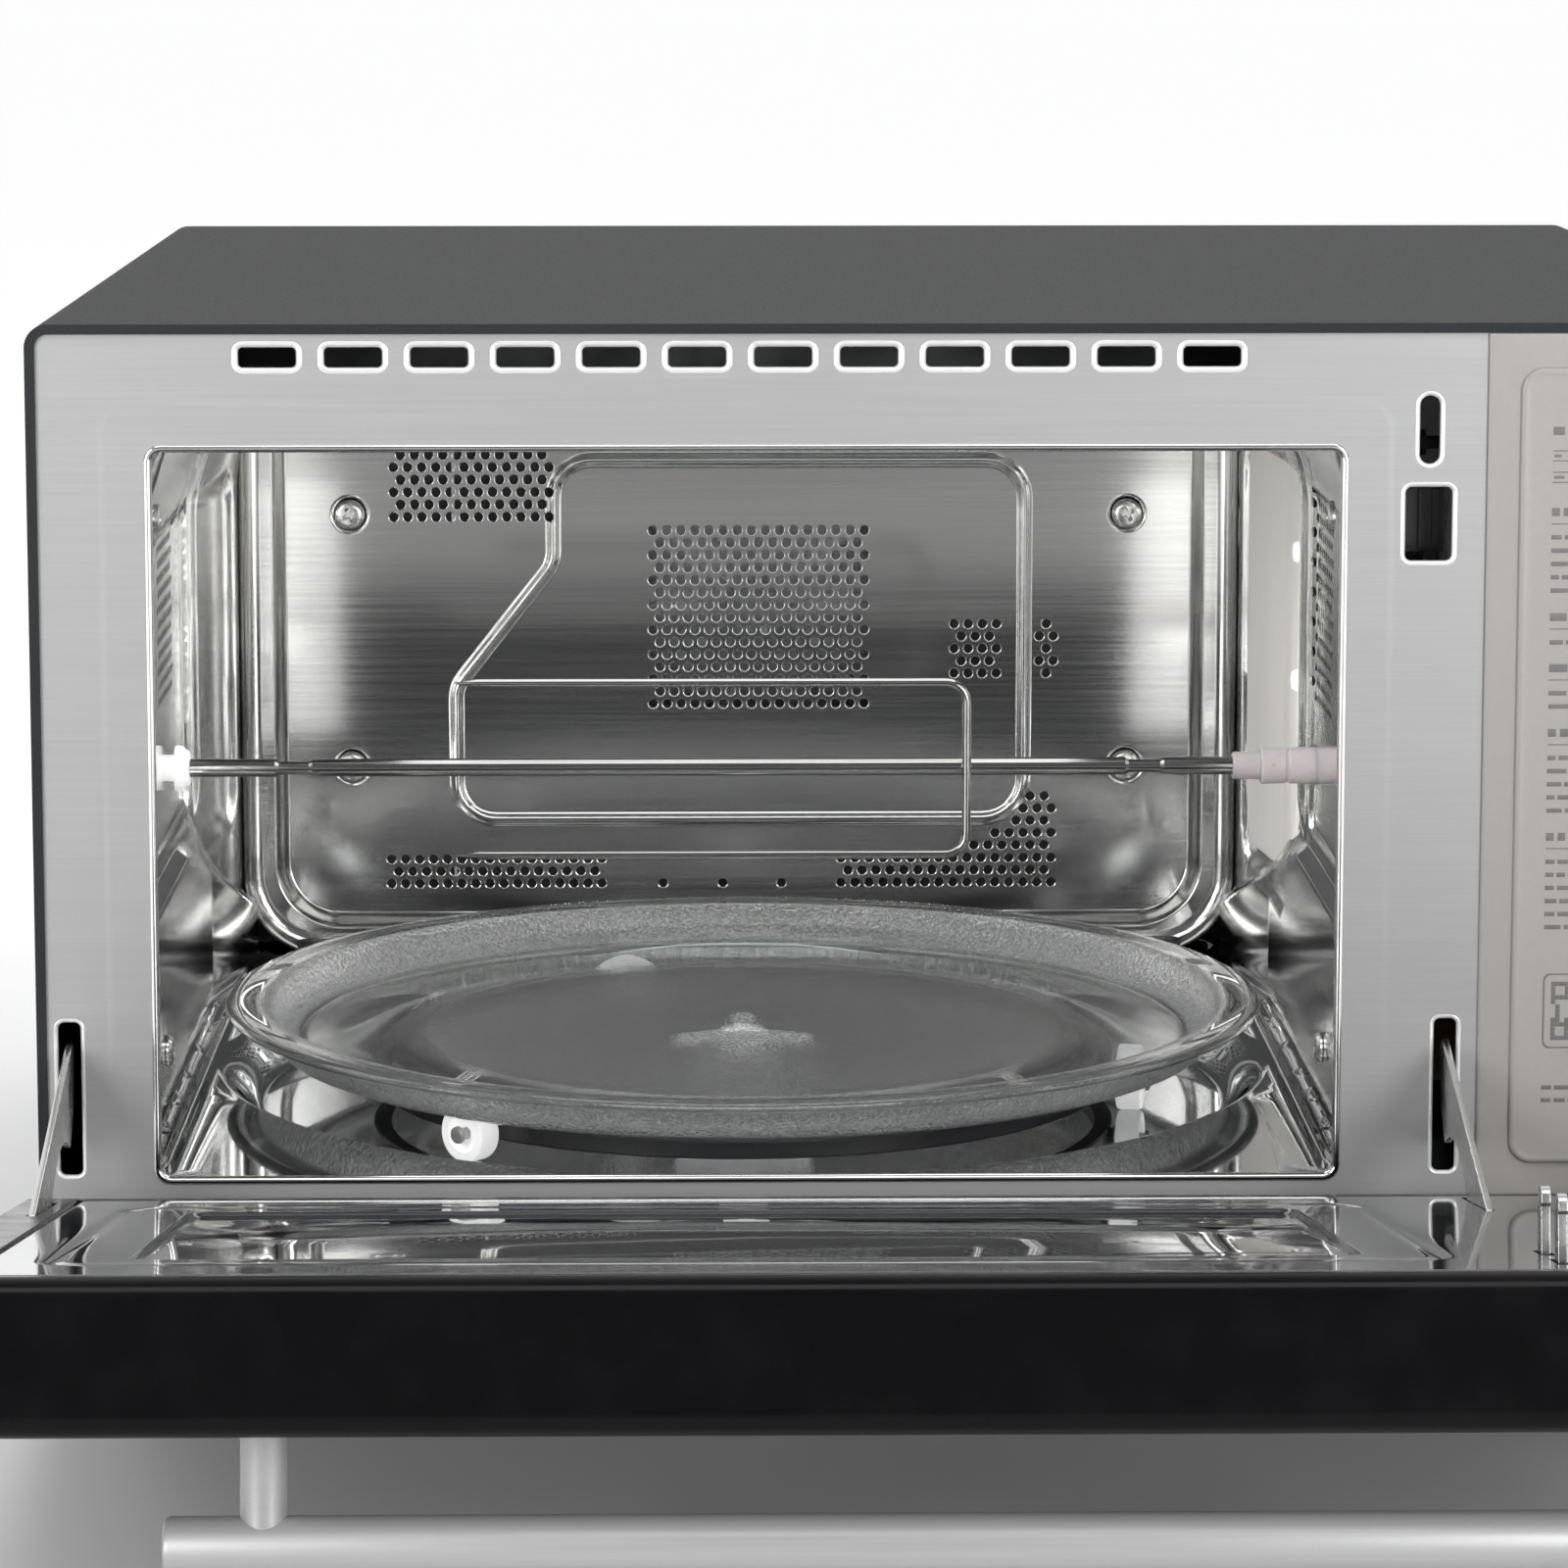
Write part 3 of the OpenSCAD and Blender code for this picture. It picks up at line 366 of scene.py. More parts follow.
class Shape:
    """Collects several closed solids for one mesh."""

    def __init__(self):
        self.points = []
        self.faces = []

    def stack(self, loops, closed=False):
        """Joins loops of equal length, one after the other, and caps both ends."""
        base = len(self.points)
        n = len(loops[0])
        for loop in loops:
            self.points.extend([tuple(p) for p in loop])
        rows = len(loops) if closed else len(loops) - 1
        for r in range(rows):
            a = base + r * n
            b = base + ((r + 1) % len(loops)) * n
            for k in range(n):
                m = (k + 1) % n
                self.faces.append((a + k, a + m, b + m, b + k))
        if not closed:
            self.faces.append(tuple(base + k for k in range(n)))
            last = base + (len(loops) - 1) * n
            self.faces.append(tuple(last + k for k in reversed(range(n))))
        return self

    def lathe(self, centre, axis, profile, n=48, closed=False):
        """profile: (radius, distance along the axis) pairs."""
        return self.stack([circle(centre, axis, r, t, n) for r, t in profile], closed)

    def rod(self, centre, axis, r, t0, t1, edge=0.3, n=32):
        return self.lathe(centre, axis, [(r - edge, t0), (r - 0.3 * edge, t0 + 0.3 * edge),
                                         (r, t0 + edge), (r, t1 - edge),
                                         (r - 0.3 * edge, t1 - 0.3 * edge), (r - edge, t1)], n)

    def tube(self, path, r, n=14):
        """A round wire along a path; r may be one radius for each point."""
        path = [Vector(p) for p in path]
        radii = [float(v) for v in r] if isinstance(r, (list, tuple)) else [r] * len(path)
        side = None
        loops = []
        for k, p in enumerate(path):
            ahead = (path[min(k + 1, len(path) - 1)] - path[max(k - 1, 0)]).normalized()
            if side is None:
                side = ahead.orthogonal().normalized()
            side = (side - ahead * side.dot(ahead)).normalized()
            up = ahead.cross(side)
            loops.append([p + radii[k] * (math.cos(a) * side + math.sin(a) * up)
                          for a in np.linspace(0, 2 * math.pi, n, endpoint=False)])
        return self.stack(loops)

    def slab(self, outline, y0, y1, edge=0.3):
        """An upright plate whose outline(inset) gives (x, z) points, with rounded edges at y0."""
        inward = edge if y1 > y0 else -edge
        loops = []
        for k in range(4):
            a = k / 3 * math.pi / 2
            loops.append(upright(outline(edge * (1 - math.sin(a))), y0 + inward * (1 - math.cos(a))))
        loops.append(upright(outline(0), y1))
        return self.stack(loops)

    def block(self, lo, hi, edge=0.3):
        """A box with its edges taken off."""
        (x0, y0, z0), (x1, y1, z1) = lo, hi
        e = min(edge, (x1 - x0) / 2.1, (y1 - y0) / 2.1, (z1 - z0) / 2.1)

        def ring(inset, y):
            return upright(rrect(x0 + inset, z0 + inset, x1 - inset, z1 - inset, e, 2), y)
        return self.stack([ring(e, y0), ring(0.3 * e, y0 + 0.3 * e), ring(0, y0 + e),
                           ring(0, y1 - e), ring(0.3 * e, y1 - 0.3 * e), ring(e, y1)])

    def make(self, name, mat, **how):
        make(name, self.points, self.faces, mat, **how)


def circle(centre, axis, r, t, n=48):
    a = np.linspace(0, 2 * math.pi, n, endpoint=False)
    c, s = max(r, 0.02) * np.cos(a), max(r, 0.02) * np.sin(a)
    flat = {"x": (t + 0 * a, c, s), "y": (c, t + 0 * a, s), "z": (c, s, t + 0 * a)}[axis]
    return np.array(flat).T + np.asarray(centre, float)


def upright(points, y):
    return [(p[0], y, p[1]) for p in points]


def rrect(x0, z0, x1, z1, r, n=6):
    """Rounded rectangle as points, always 4(n + 1) of them."""
    r = max(0.02, min(r, (x1 - x0) / 2 - 0.01, (z1 - z0) / 2 - 0.01))
    out = []
    for cx, cz, a0 in ((x1 - r, z0 + r, -90), (x1 - r, z1 - r, 0), (x0 + r, z1 - r, 90),
                       (x0 + r, z0 + r, 180)):
        for k in range(n + 1):
            a = math.radians(a0 + 90 * k / n)
            out.append((cx + r * math.cos(a), cz + r * math.sin(a)))
    return np.array(out)


def grown(field, o, n=8):
    """Points of a rounded rectangle (x0, z0, x1, z1, radius), grown by o all round."""
    x0, z0, x1, z1, r = field
    return rrect(x0 - o, z0 - o, x1 + o, z1 + o, r + o, n)


def slot_points(x, z, w, h, r, grow=0.0, n=5):
    return grown((x - w / 2, z - h / 2, x + w / 2, z + h / 2, r), grow, n)


def rounded(points, radii):
    """A closed polygon with its corners rounded."""
    n = 7
    pts = [np.array(p, float) for p in points]
    if not isinstance(radii, (list, tuple)):
        radii = [radii] * len(pts)
    out = []
    for k, p in enumerate(pts):
        a, b = pts[k - 1] - p, pts[(k + 1) % len(pts)] - p
        la, lb = np.linalg.norm(a), np.linalg.norm(b)
        a, b = a / la, b / lb
        half = math.acos(np.clip(a @ b, -1, 1)) / 2
        cut = min(radii[k] / math.tan(half), 0.49 * la, 0.49 * lb)
        r = cut * math.tan(half)
        centre = p + (a + b) / np.linalg.norm(a + b) * r / math.sin(half)
        start, end = p + a * cut - centre, p + b * cut - centre
        sweep = math.atan2(start[0] * end[1] - start[1] * end[0], start @ end)
        for i in range(n + 1):
            t = sweep * i / n
            out.append(centre + np.array([start[0] * math.cos(t) - start[1] * math.sin(t),
                                          start[0] * math.sin(t) + start[1] * math.cos(t)]))
    return np.array(out)


def to_line(u, v, line):
    """Distance of each point from a closed line of straight pieces."""
    best = np.full(np.shape(u), 1e9)
    for a, b in zip(line, [*line[1:], line[0]]):
        d = np.array(b) - a
        t = np.clip(((u - a[0]) * d[0] + (v - a[1]) * d[1]) / max(d @ d, 1e-9), 0, 1)
        best = np.minimum(best, np.hypot(u - a[0] - t * d[0], v - a[1] - t * d[1]))
    return best


def in_rrect(u, v, x0, z0, x1, z1, r):
    """Signed distance from a rounded rectangle: below zero inside it."""
    dx = np.abs(u - (x0 + x1) / 2) - (x1 - x0) / 2 + r
    dz = np.abs(v - (z0 + z1) / 2) - (z1 - z0) / 2 + r
    return np.hypot(np.maximum(dx, 0), np.maximum(dz, 0)) + np.minimum(np.maximum(dx, dz), 0) - r


def step(value, lo, hi):
    t = np.clip((value - lo) / (hi - lo), 0, 1)
    return t * t * (3 - 2 * t)


def grid(u0, v0, u1, v1, du, dv=None):
    dv = dv or du
    u, v = np.meshgrid(np.linspace(u0, u1, max(2, int((u1 - u0) / du) + 1)),
                       np.linspace(v0, v1, max(2, int((v1 - v0) / dv) + 1)))
    return np.array([u.ravel(), v.ravel()]).T


def beside(line, offsets):
    """Copies of a closed line, each moved sideways by an offset, so that a ridge has edges along it."""
    line = np.array(line)
    ahead = np.roll(line, -1, 0) - np.roll(line, 1, 0)
    ahead /= np.maximum(np.linalg.norm(ahead, axis=1, keepdims=True), 1e-9)
    side = np.array([ahead[:, 1], -ahead[:, 0]]).T
    return [line + side * o for o in offsets]


def dense(line, pitch=3.0):
    """More points along a closed line."""
    out = []
    for a, b in zip(line, [*line[1:], line[0]]):
        n = max(1, int(np.linalg.norm(np.array(b) - a) / pitch))
        out += [np.array(a) + (np.array(b) - a) * k / n for k in range(n)]
    return np.array(out)


PITCH_X, PITCH_Z = 5.16, 4.57


def hole_rows(x0, z0, cols, rows):
    """Staggered hole centres; the odd rows have one hole fewer."""
    return [(x0 + (c + (r % 2) / 2) * PITCH_X, z0 + r * PITCH_Z) for r in range(rows)
            for c in range(cols - r % 2)]


def near_holes(u, v, centres):
    """Distance of each point from the nearest hole's centre."""
    best = np.full(np.shape(u), 1e9)
    for x, z in centres:
        best = np.minimum(best, np.hypot(u - x, v - z))
    return best


def round_holes(centres, r=1.75, n=12):
    a = np.linspace(0, 2 * math.pi, n, endpoint=False)
    return [np.array([x + r * np.cos(a), z + r * np.sin(a)]).T for x, z in centres]


def sheet(name, outline, holes, lines, extra, height, where, thick, mat, **how):
    """Pressed sheet metal. outline and holes are (u, v) loops, lines are closed lines that no triangle
    crosses, extra is more points, height(u, v) is how far the face sinks away from the viewer, and
    where(u, v, h) gives the place of a point."""
    coords, loops, edges = [], [], []
    for loop in [outline, *holes]:
        loops.append(list(range(len(coords), len(coords) + len(loop))))
        coords += [tuple(p) for p in loop]
    for line in lines:
        base, n = len(coords), len(line)
        coords += [tuple(p) for p in line]
        edges += [(base + k, base + (k + 1) % n) for k in range(n)]
    coords += [tuple(p) for p in extra]
    verts, _, tris, _, _, owners = delaunay_2d_cdt([Vector(c) for c in coords], edges, loops, 1, 1e-4)
    tris = [t for t, owner in zip(tris, owners) if list(owner) == [0]]
    used = sorted({i for t in tris for i in t})
    index = {old: new for new, old in enumerate(used)}
    uv = np.array([verts[i] for i in used], float)
    tris = np.array([[index[i] for i in t] for t in tris])
    u, v = uv[:, 0], uv[:, 1]

    def surface(a, b, deep=0.0):
        return np.array(where(a, b, height(a, b) + deep)).T

    e = 0.02
    front, back = surface(u, v), surface(u, v, thick)
    across = np.cross(surface(u + e, v) - surface(u - e, v), surface(u, v + e) - surface(u, v - e))
    across /= np.linalg.norm(across, axis=1, keepdims=True)
    if np.sum(across * (front - back)) < 0:
        across = -across
    a, b, c = (front[tris[:, k]] for k in range(3))
    if np.sum(np.cross(b - a, c - a) * across[tris[:, 0]]) < 0:
        tris = tris[:, ::-1]
    n = len(used)
    once = {}
    for t in tris:
        for i, j in ((t[0], t[1]), (t[1], t[2]), (t[2], t[0])):
            if (j, i) in once:
                del once[(j, i)]
            else:
                once[(i, j)] = True
    faces = [tuple(t) for t in tris] + [tuple(t[::-1] + n) for t in tris]
    normals = [across[t] for t in tris] + [-across[t[::-1]] for t in tris]
    points = np.vstack([front, back])
    for i, j in once:
        faces.append((j, i, i + n, j + n))
        flat = np.cross(points[i] - points[j], points[i + n] - points[i])
        flat = flat / max(np.linalg.norm(flat), 1e-9)
        normals.append(np.array([flat] * 4))
    make(name, points, faces, mat, normals=np.vstack(normals), recalc=False, **how)


def soften(node, mat, width):
    """A copy of a CAD node with its sharp edges rounded."""
    body = frame["nodes"][node]["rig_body"]
    bm = bmesh.new()
    bm.from_mesh(frame["nodes"][node].data)
    bmesh.ops.remove_doubles(bm, verts=bm.verts, dist=2e-6)
    bmesh.ops.dissolve_limit(bm, angle_limit=math.radians(0.6), verts=bm.verts, edges=bm.edges)
    edges = [e for e in bm.edges if len(e.link_faces) == 2
             and e.calc_face_angle(0) > math.radians(35)]
    bmesh.ops.bevel(bm, geom=edges, offset=width * MM, offset_type="OFFSET", segments=2,
                    profile=0.5, affect="EDGES", clamp_overlap=True)
    mesh = bpy.data.meshes.new(node + "_soft")
    bm.to_mesh(mesh)
    bm.free()
    even_normals(mesh)
    mesh.materials.append(mats[mat])
    place(node + "_soft", mesh, body, mat, stands_for=[node])


def even_normals(mesh):
    """Corner normals that follow the largest faces, so flat sheets stay flat beside their edges."""
    mesh.polygons.foreach_set("use_smooth", [True] * len(mesh.polygons))
    around = [[] for _ in mesh.vertices]
    for poly in mesh.polygons:
        for v in poly.vertices:
            around[v].append((poly.normal.copy(), poly.area))
    limit = math.cos(math.radians(50))
    normals = []
    for poly in mesh.polygons:
        for v in poly.vertices:
            total = Vector((0, 0, 0))
            for normal, area in around[v]:
                if normal.dot(poly.normal) > limit:
                    total += normal * area
            normals.append(total.normalized() if total.length > 0 else poly.normal.copy())
    mesh.normals_split_custom_set(normals)


# ---- Front plate, rim and control side ----

VENT_W, VENT_H, VENT_Z = 17.5, 6.3, 312.0
vents = [(OX - 142.3 + 25.5 * k, VENT_Z) for k in range(12)]
LATCH_X = OX + 203.4
LATCH_Z, WINDOW_Z = 290.0, 261.8
HINGE_X = [OX - 204.3, OX + 210.8]
coins = [(x, z, VENT_W, VENT_H, 1.6, 1.6) for x, z in vents]
coins += [(LATCH_X, LATCH_Z, 6.2, 20.6, 3.0, 1.2), (LATCH_X, WINDOW_Z, 14.2, 22.4, 2.0, 1.3)]
coins += [(x, 87.8, 7.0, 47.2, 2.0, 1.1) for x in HINGE_X]
COIN_DEEP, STEP_DEEP = 0.75, 0.07
STEP = (OX - OPEN_HALF - 15, OPEN_Z0 - 13, OX + OPEN_HALF + 15, OPEN_Z1 + 15, 9)


def plate_height(u, v):
    """Coined edges round the slots, and a faint raised field round the opening."""
    h = np.zeros(np.shape(u))
    for x, z, w, tall, r, coin in coins:
        d = in_rrect(u, v, x - w / 2, z - tall / 2, x + w / 2, z + tall / 2, r)
        inwards = 1 - np.clip(d / coin, 0, 1)
        h = np.maximum(h, COIN_DEEP * (1 - np.sqrt(np.clip(1 - inwards ** 2, 0, 1))))
    return h + STEP_DEEP * step(in_rrect(u, v, *STEP), -1.2, 1.2)


def build_front_plate():
    r = 4.0
    x0, z0, x1, z1 = plate_lo[0], plate_lo[2], plate_hi[0], plate_hi[2]
    corner = [(x0 + r - r * math.sin(a), z1 - r + r * math.cos(a))
              for a in np.linspace(0, math.pi / 2, 8)]
    outline = [(x0, z0), (x1, z0), (x1, z1), *corner]
    holes = [rrect(rim_lo[0] + 0.4, rim_lo[2] + 0.4, rim_hi[0] - 0.4, rim_hi[2] - 0.4, 4.6, 8)]
    lines = []
    for x, z, w, tall, radius, coin in coins:
        holes.append(slot_points(x, z, w, tall, radius, n=8))
        for share in (0.08, 0.2, 0.4, 0.65, 0.85, 1.05):
            lines.append(slot_points(x, z, w, tall, radius, coin * share, n=8))
    for o in (-1.3, -0.7, 0, 0.7, 1.3):
        lines.append(grown(STEP, o))
    sheet("front_plate_skin", outline, holes, lines, grid(x0 + 4, z0 + 3, x1 - 4, z1 - 3, 14),
          plate_height, lambda u, v, h: (u, h, v), 1.2, "satin_steel", stands_for=["front_plate"])


def build_slot_lips():
    """The coined edge round every slot in the plate, in a lighter copy of the plate's steel as a painted
    highlight.
    """
    shape = Shape()
    for x, z, w, tall, r, coin in coins:
        loops = []
        for share, y in ((1.05, 0.05), (1.0, -0.05), (0.8, -0.06), (0.5, 0.0), (0.2, 0.22), (0, 0.6),
                         (-0.12, 0.9), (0, 1.15), (0.6, 1.15)):
            loops.append(upright(slot_points(x, z, w, tall, r, coin * share, n=8), y))
        shape.stack(loops, closed=True)
    shape.make("slot_lips", "lip_steel", slot="satin_steel", sharp=70)


def build_rim():
    """A rolled bead round the opening, that turns back into the cavity."""
    loops = []
    for grow, y, r in ((RIM, 0.9, 5), (RIM, 0.0, 5), (RIM - 0.35, -0.42, 4.7), (RIM - 1.0, -0.6, 4.2),
                       (RIM - 1.7, -0.42, 3.7), (0.3, 0.05, 3.3), (0.0, 0.8, 3), (0.0, 1.6, 3),
                       (0.9, 1.6, 3.6), (1.0, 0.9, 3.7)):
        loops.append(upright(rrect(OX - OPEN_HALF - grow, OPEN_Z0 - grow, OX + OPEN_HALF + grow,
                                   OPEN_Z1 + grow, r, 8), y))
    Shape().stack(loops, closed=True).make("opening_bead", "rim_steel",
                                           stands_for=["cavity_rim"], sharp=70)


def build_control_side():
    """The greige frame beside the plate, with the menu panel set in it."""
    lo, hi = box_mm("side_panel")
    panel_lo, panel_hi = box_mm("panel_insert")
    hole = (panel_lo[0] + 2.4, panel_lo[2] + 2.4, panel_hi[0] - 2.4, panel_hi[2] - 2.4)
    outline = [(lo[0], lo[2]), (hi[0], lo[2])]
    outline += [(hi[0] - 4 + 4 * math.cos(a), hi[2] - 4 + 4 * math.sin(a))
                for a in np.linspace(0, math.pi / 2, 8)] + [(lo[0], hi[2])]
    lines = beside(dense(outline, 6), (-0.15, -0.4, -0.8, -1.4))
    extra = grid(lo[0] + 3, lo[2] + 3, hi[0] - 3, hi[2] - 3, 6, 16)

    def soft_edge(u, v):
        d = -np.minimum(to_line(u, v, outline), 1.3)
        return 1.3 * (1 - np.sqrt(np.clip(1 - (1 + d / 1.3) ** 2, 0, 1))) * 0.8

    sheet("side_frame", outline, [rrect(*hole, 5, 6)], lines, extra, soft_edge,
          lambda u, v, h: (u, lo[1] + h, v), 1.3, "greige_plastic", stands_for=["side_panel"])
    x0, z0, x1, z1 = panel_lo[0], panel_lo[2], panel_hi[0], panel_hi[2]
    y0 = panel_lo[1]
    loops = []
    for inset, y in ((2.6, y0 + 2.6), (2.6, y0 + 1.3), (0, y0 + 1.25), (0, y0 + 0.75), (0.25, y0 + 0.3),
                     (0.8, y0), (1.5, y0), (2.0, y0 + 0.12), (2.6, y0 + 0.22)):
        loops.append(upright(rrect(x0 + inset, z0 + inset, x1 - inset, z1 - inset, 7 - inset, 8), y))
    Shape().stack(loops).make("menu_panel", "greige_plastic", stands_for=["panel_insert"], sharp=40)
    build_menu(x0, x1, y0 + 0.22)


def build_menu(x0, x1, face):
    """Plain marks where the menu is printed: headings, rules, short entries and one code square."""
    shape = Shape()
    left = x0 + 9.6
    right = x1 - 8

    def bar(a, z, b, tall):
        shape.block((a, face - 0.12, z - tall / 2), (b, face + 0.05, z + tall / 2), 0.05)

    def words(z, tall, width, gap=1.2):
        x = left
        while x < left + width:
            w = min(rng.uniform(2.2, 6.0), left + width - x)
            if w > 0.8:
                bar(x, z, x + w, tall)
            x += w + gap

    words(289.9, 2.4, 30)
    for row, z in enumerate((282.4, 276.0)):
        for k in range(6):
            x = left + k * 9.5
            bar(x, z + 1.5, x + 5, 0.35)
            bar(x, z - 1.5, x + 5, 0.35)
            bar(x + 0.4, z, x + 2.6 + 0.9 * ((k + row) % 2), 0.9)
    groups = ((265.6, 5), (234.0, 1), (218.6, 2), (199.0, 5), (167.4, 6))
    for top, lines in groups:
        words(top, 2.4, rng.uniform(20, 34))
        bar(left, top - 3.6, right, 0.3)
        for k in range(lines):
            words(top - 7.6 - 4.0 * k, 1.35, rng.uniform(14, 48), 0.9)
    code_z1, size = 125.6, 23
    outer = rrect(left, code_z1 - size, left + size, code_z1, 2)
    inner = rrect(left + 0.5, code_z1 - size + 0.5, left + size - 0.5, code_z1 - 0.5, 2)
    ring = [upright(outer, face + 0.05), upright(outer, face - 0.1), upright(inner, face - 0.1),
            upright(inner, face + 0.05)]
    shape.stack(ring, closed=True)
    cell = (size - 5) / 13
    for i in range(13):
        for j in range(13):
            corner = (i < 4 and j < 4) or (i < 4 and j > 8) or (i > 8 and j > 8)
            edge = i in (0, 3, 9, 12) or j in (0, 3, 9, 12)
            if (corner and edge) or (not corner and rng.random() < 0.45):
                x = left + 2.5 + i * cell
                z = code_z1 - size + 2.5 + j * cell
                bar(x, z + cell / 2, x + cell * 0.96, cell * 0.96)
    words(90.5, 1.3, 50, 0.9)
    words(86.6, 1.3, 38, 0.9)
    shape.make("menu_print", "print_grey", sharp=60)


# ---- Cavity ----

RIDGE = rounded([(OX - 67.8, 241.9), (OX + 104.5, 241.9), (OX + 104.5, 109.1), (OX - 103.5, 109.1),
                 (OX - 103.5, 158.5), (OX - 67.8, 204)], [14, 14, 15, 14, 12, 12])
REAR_FIELD = (OX - 168.4, 71.5, OX + 168.4, 400, 22)
screw_places = [(OX + x, z) for x in (-142, 142) for z in (129, 222)]
SIDE_X = 181.0


def rear_height(u, v):
    """How far the rear wall's face is behind the ledge round it."""
    h = (BACK - LEDGE) * (1 - step(in_rrect(u, v, *REAR_FIELD), -3.2, 1.6))
    # the ledge's rounded turn into the side walls and the floor
    outer = in_rrect(u, v, OX - SIDE_X, FLOOR, OX + SIDE_X, 420, 30)
    h = h - 7.0 * (1 - np.sqrt(np.clip(1 - np.clip((outer + 7) / 7, 0, 1) ** 2, 0, 1)))
    # the raised line, the dimples round the screws, and a dished edge at each hole
    ridge = to_line(u, v, RIDGE)
    h = h - 1.5 * np.where(ridge < 3.0, 0.5 + 0.5 * np.cos(np.clip(ridge / 3.0, 0, 1) * math.pi), 0)
    for x, z in screw_places:
        r = np.hypot(u - x, v - z)
        h = h + 0.9 * (1 - step(r, 5.2, 7.2))
    return h + 0.35 * (1 - step(near_holes(u, v, rear_holes), 1.7, 2.1))


def rear_hole_centres():
    """Five staggered groups, three single holes, a stepped corner and a narrow group."""
    rows = [(-31.5, 151.9, 16, 15), (-126, 221, 12, 10), (79, 163, 4, 5), (37.6, 85, 16, 3),
            (-128, 85, 16, 3)]
    out = [c for row in rows for c in hole_rows(*row)]
    out += [(x, 85) for x in (-28, -6, 15.6)]
    for k, n in enumerate((6, 5, 3, 3, 2)):
        x1 = 115 if k % 2 else 112.4
        out += [(x1 - PITCH_X * i, 98.9 + PITCH_Z * k) for i in range(n)]
    for k, n in enumerate((1, 2, 1, 2, 1)):
        out += [(112.8 + (i - (n - 1) / 2) * PITCH_X, 163 + PITCH_Z * k) for i in range(n)]
    return [(OX + x, z) for x, z in out]


rear_holes = rear_hole_centres()


def build_rear_wall():
    z0, z1 = FLOOR, CEILING
    bowl = rrect(OX - SIDE_X, z0, OX + SIDE_X, 500, 30, 10)
    outline = dense([(OX - SIDE_X, z1), *bowl[33:], *bowl[:11], (OX + SIDE_X, z1)], 6)
    holes = round_holes(rear_holes)
    lines = round_holes(rear_holes, 2.15)
    for o in (-3.4, -2.6, -1.8, -1.0, -0.2, 0.6, 1.2, 1.8, 3, 4.5, 5.6, 6.6, 7.6, 8.6, 9.6, 10.6):
        lines.append(dense(rrect(REAR_FIELD[0] - o, REAR_FIELD[1] - o, REAR_FIELD[2] + o, z1 + 60,
                                 REAR_FIELD[4] + o, 10), 8))
    lines += beside(dense(RIDGE, 4), (-3.1, -2.4, -1.6, -0.8, 0, 0.8, 1.6, 2.4, 3.1))
    for x, z in screw_places:
        for r in (1, 3, 5.0, 5.5, 6.0, 6.5, 7, 7.5):
            lines += round_holes([(x, z)], r, 28)
    sheet("rear_wall_skin", outline, holes, lines, grid(OX - 164, 80, OX + 164, z1 - 2, 6), rear_height,
          lambda u, v, h: (u, LEDGE + h, v), 0.8, "rear_steel", slot="bright_steel",
          stands_for=["cavity_rear_wall"])


def build_hole_shade_pads():
    """Dark pads behind the outer groups of holes, put there as painted shade."""
    shape = Shape()
    for x0, z0, x1, z1 in ((-132, 214, -62, 282), (-134, 80, -46, 100), (-34, 80, 22, 90),
                           (32, 80, 122, 123), (74, 158, 121, 188)):
        shape.block((OX + x0, BACK + 2.0, z0), (OX + x1, BACK + 3.0, z1), 0.3)
    shape.make("hole_shade_pads", "dark_gap", slot="black_plastic")


def screw_head(shape, x, y, z):
    """A pan head with a cross in it, looking forwards."""
    r = 5.4
    arm, half = 0.55 * r, 0.16 * r
    turns = np.linspace(0, 2 * math.pi, 36, endpoint=False)

    def cross(t):
        c, s = abs(math.cos(t)), abs(math.sin(t))
        return min(half / max(min(c, s), 1e-6), arm / max(c, s), arm)

    def ring(reaches, out):
        return [(x + reach * math.cos(t + 0.5), y - out, z + reach * math.sin(t + 0.5))
                for t, reach in zip(turns, reaches)]
    head = ((1, 0), (1, 0.7), (0.93, 1.5), (0.78, 2.1), (0.6, 2.4))
    recess = ((1, 0.0), (0.9, 1.4), (0.6, 2.2))
    shape.stack([ring([share * r] * len(turns), out) for share, out in head]
                + [ring([scale * cross(t) for t in turns], 2.4 - deep) for scale, deep in recess])


def build_screws():
    shape = Shape()
    for x, z in screw_places:
        screw_head(shape, x, BACK + 0.3, z)
        shape.rod((x, 0, z), "y", 2, BACK + 0.2, BACK + 8)
    shape.make("rear_screws", "zinc_steel", stands_for=["cavity_screws"])
    heads = Shape()
    for s in (-1, 1):
        for y, z in ((96, 253), (96, 82)):
            x = OX + s * (wall_face(y, z) - 0.2)
            heads.lathe((x, y, z), "x", [(5, 0), (5, -s * 0.8), (4.2, -s * 1.7), (2.2, -s * 2.1),
                                         (1.4, -s * 1.3), (0.3, -s * 1.2)], 28)
    heads.make("side_screws", "zinc_steel")


WALL_Y1 = 356.0
FOLD_Z = 243.0
RECESS = 47.4
RIB_X = 177.5
BAR_X, BAR_Y = 156, 139


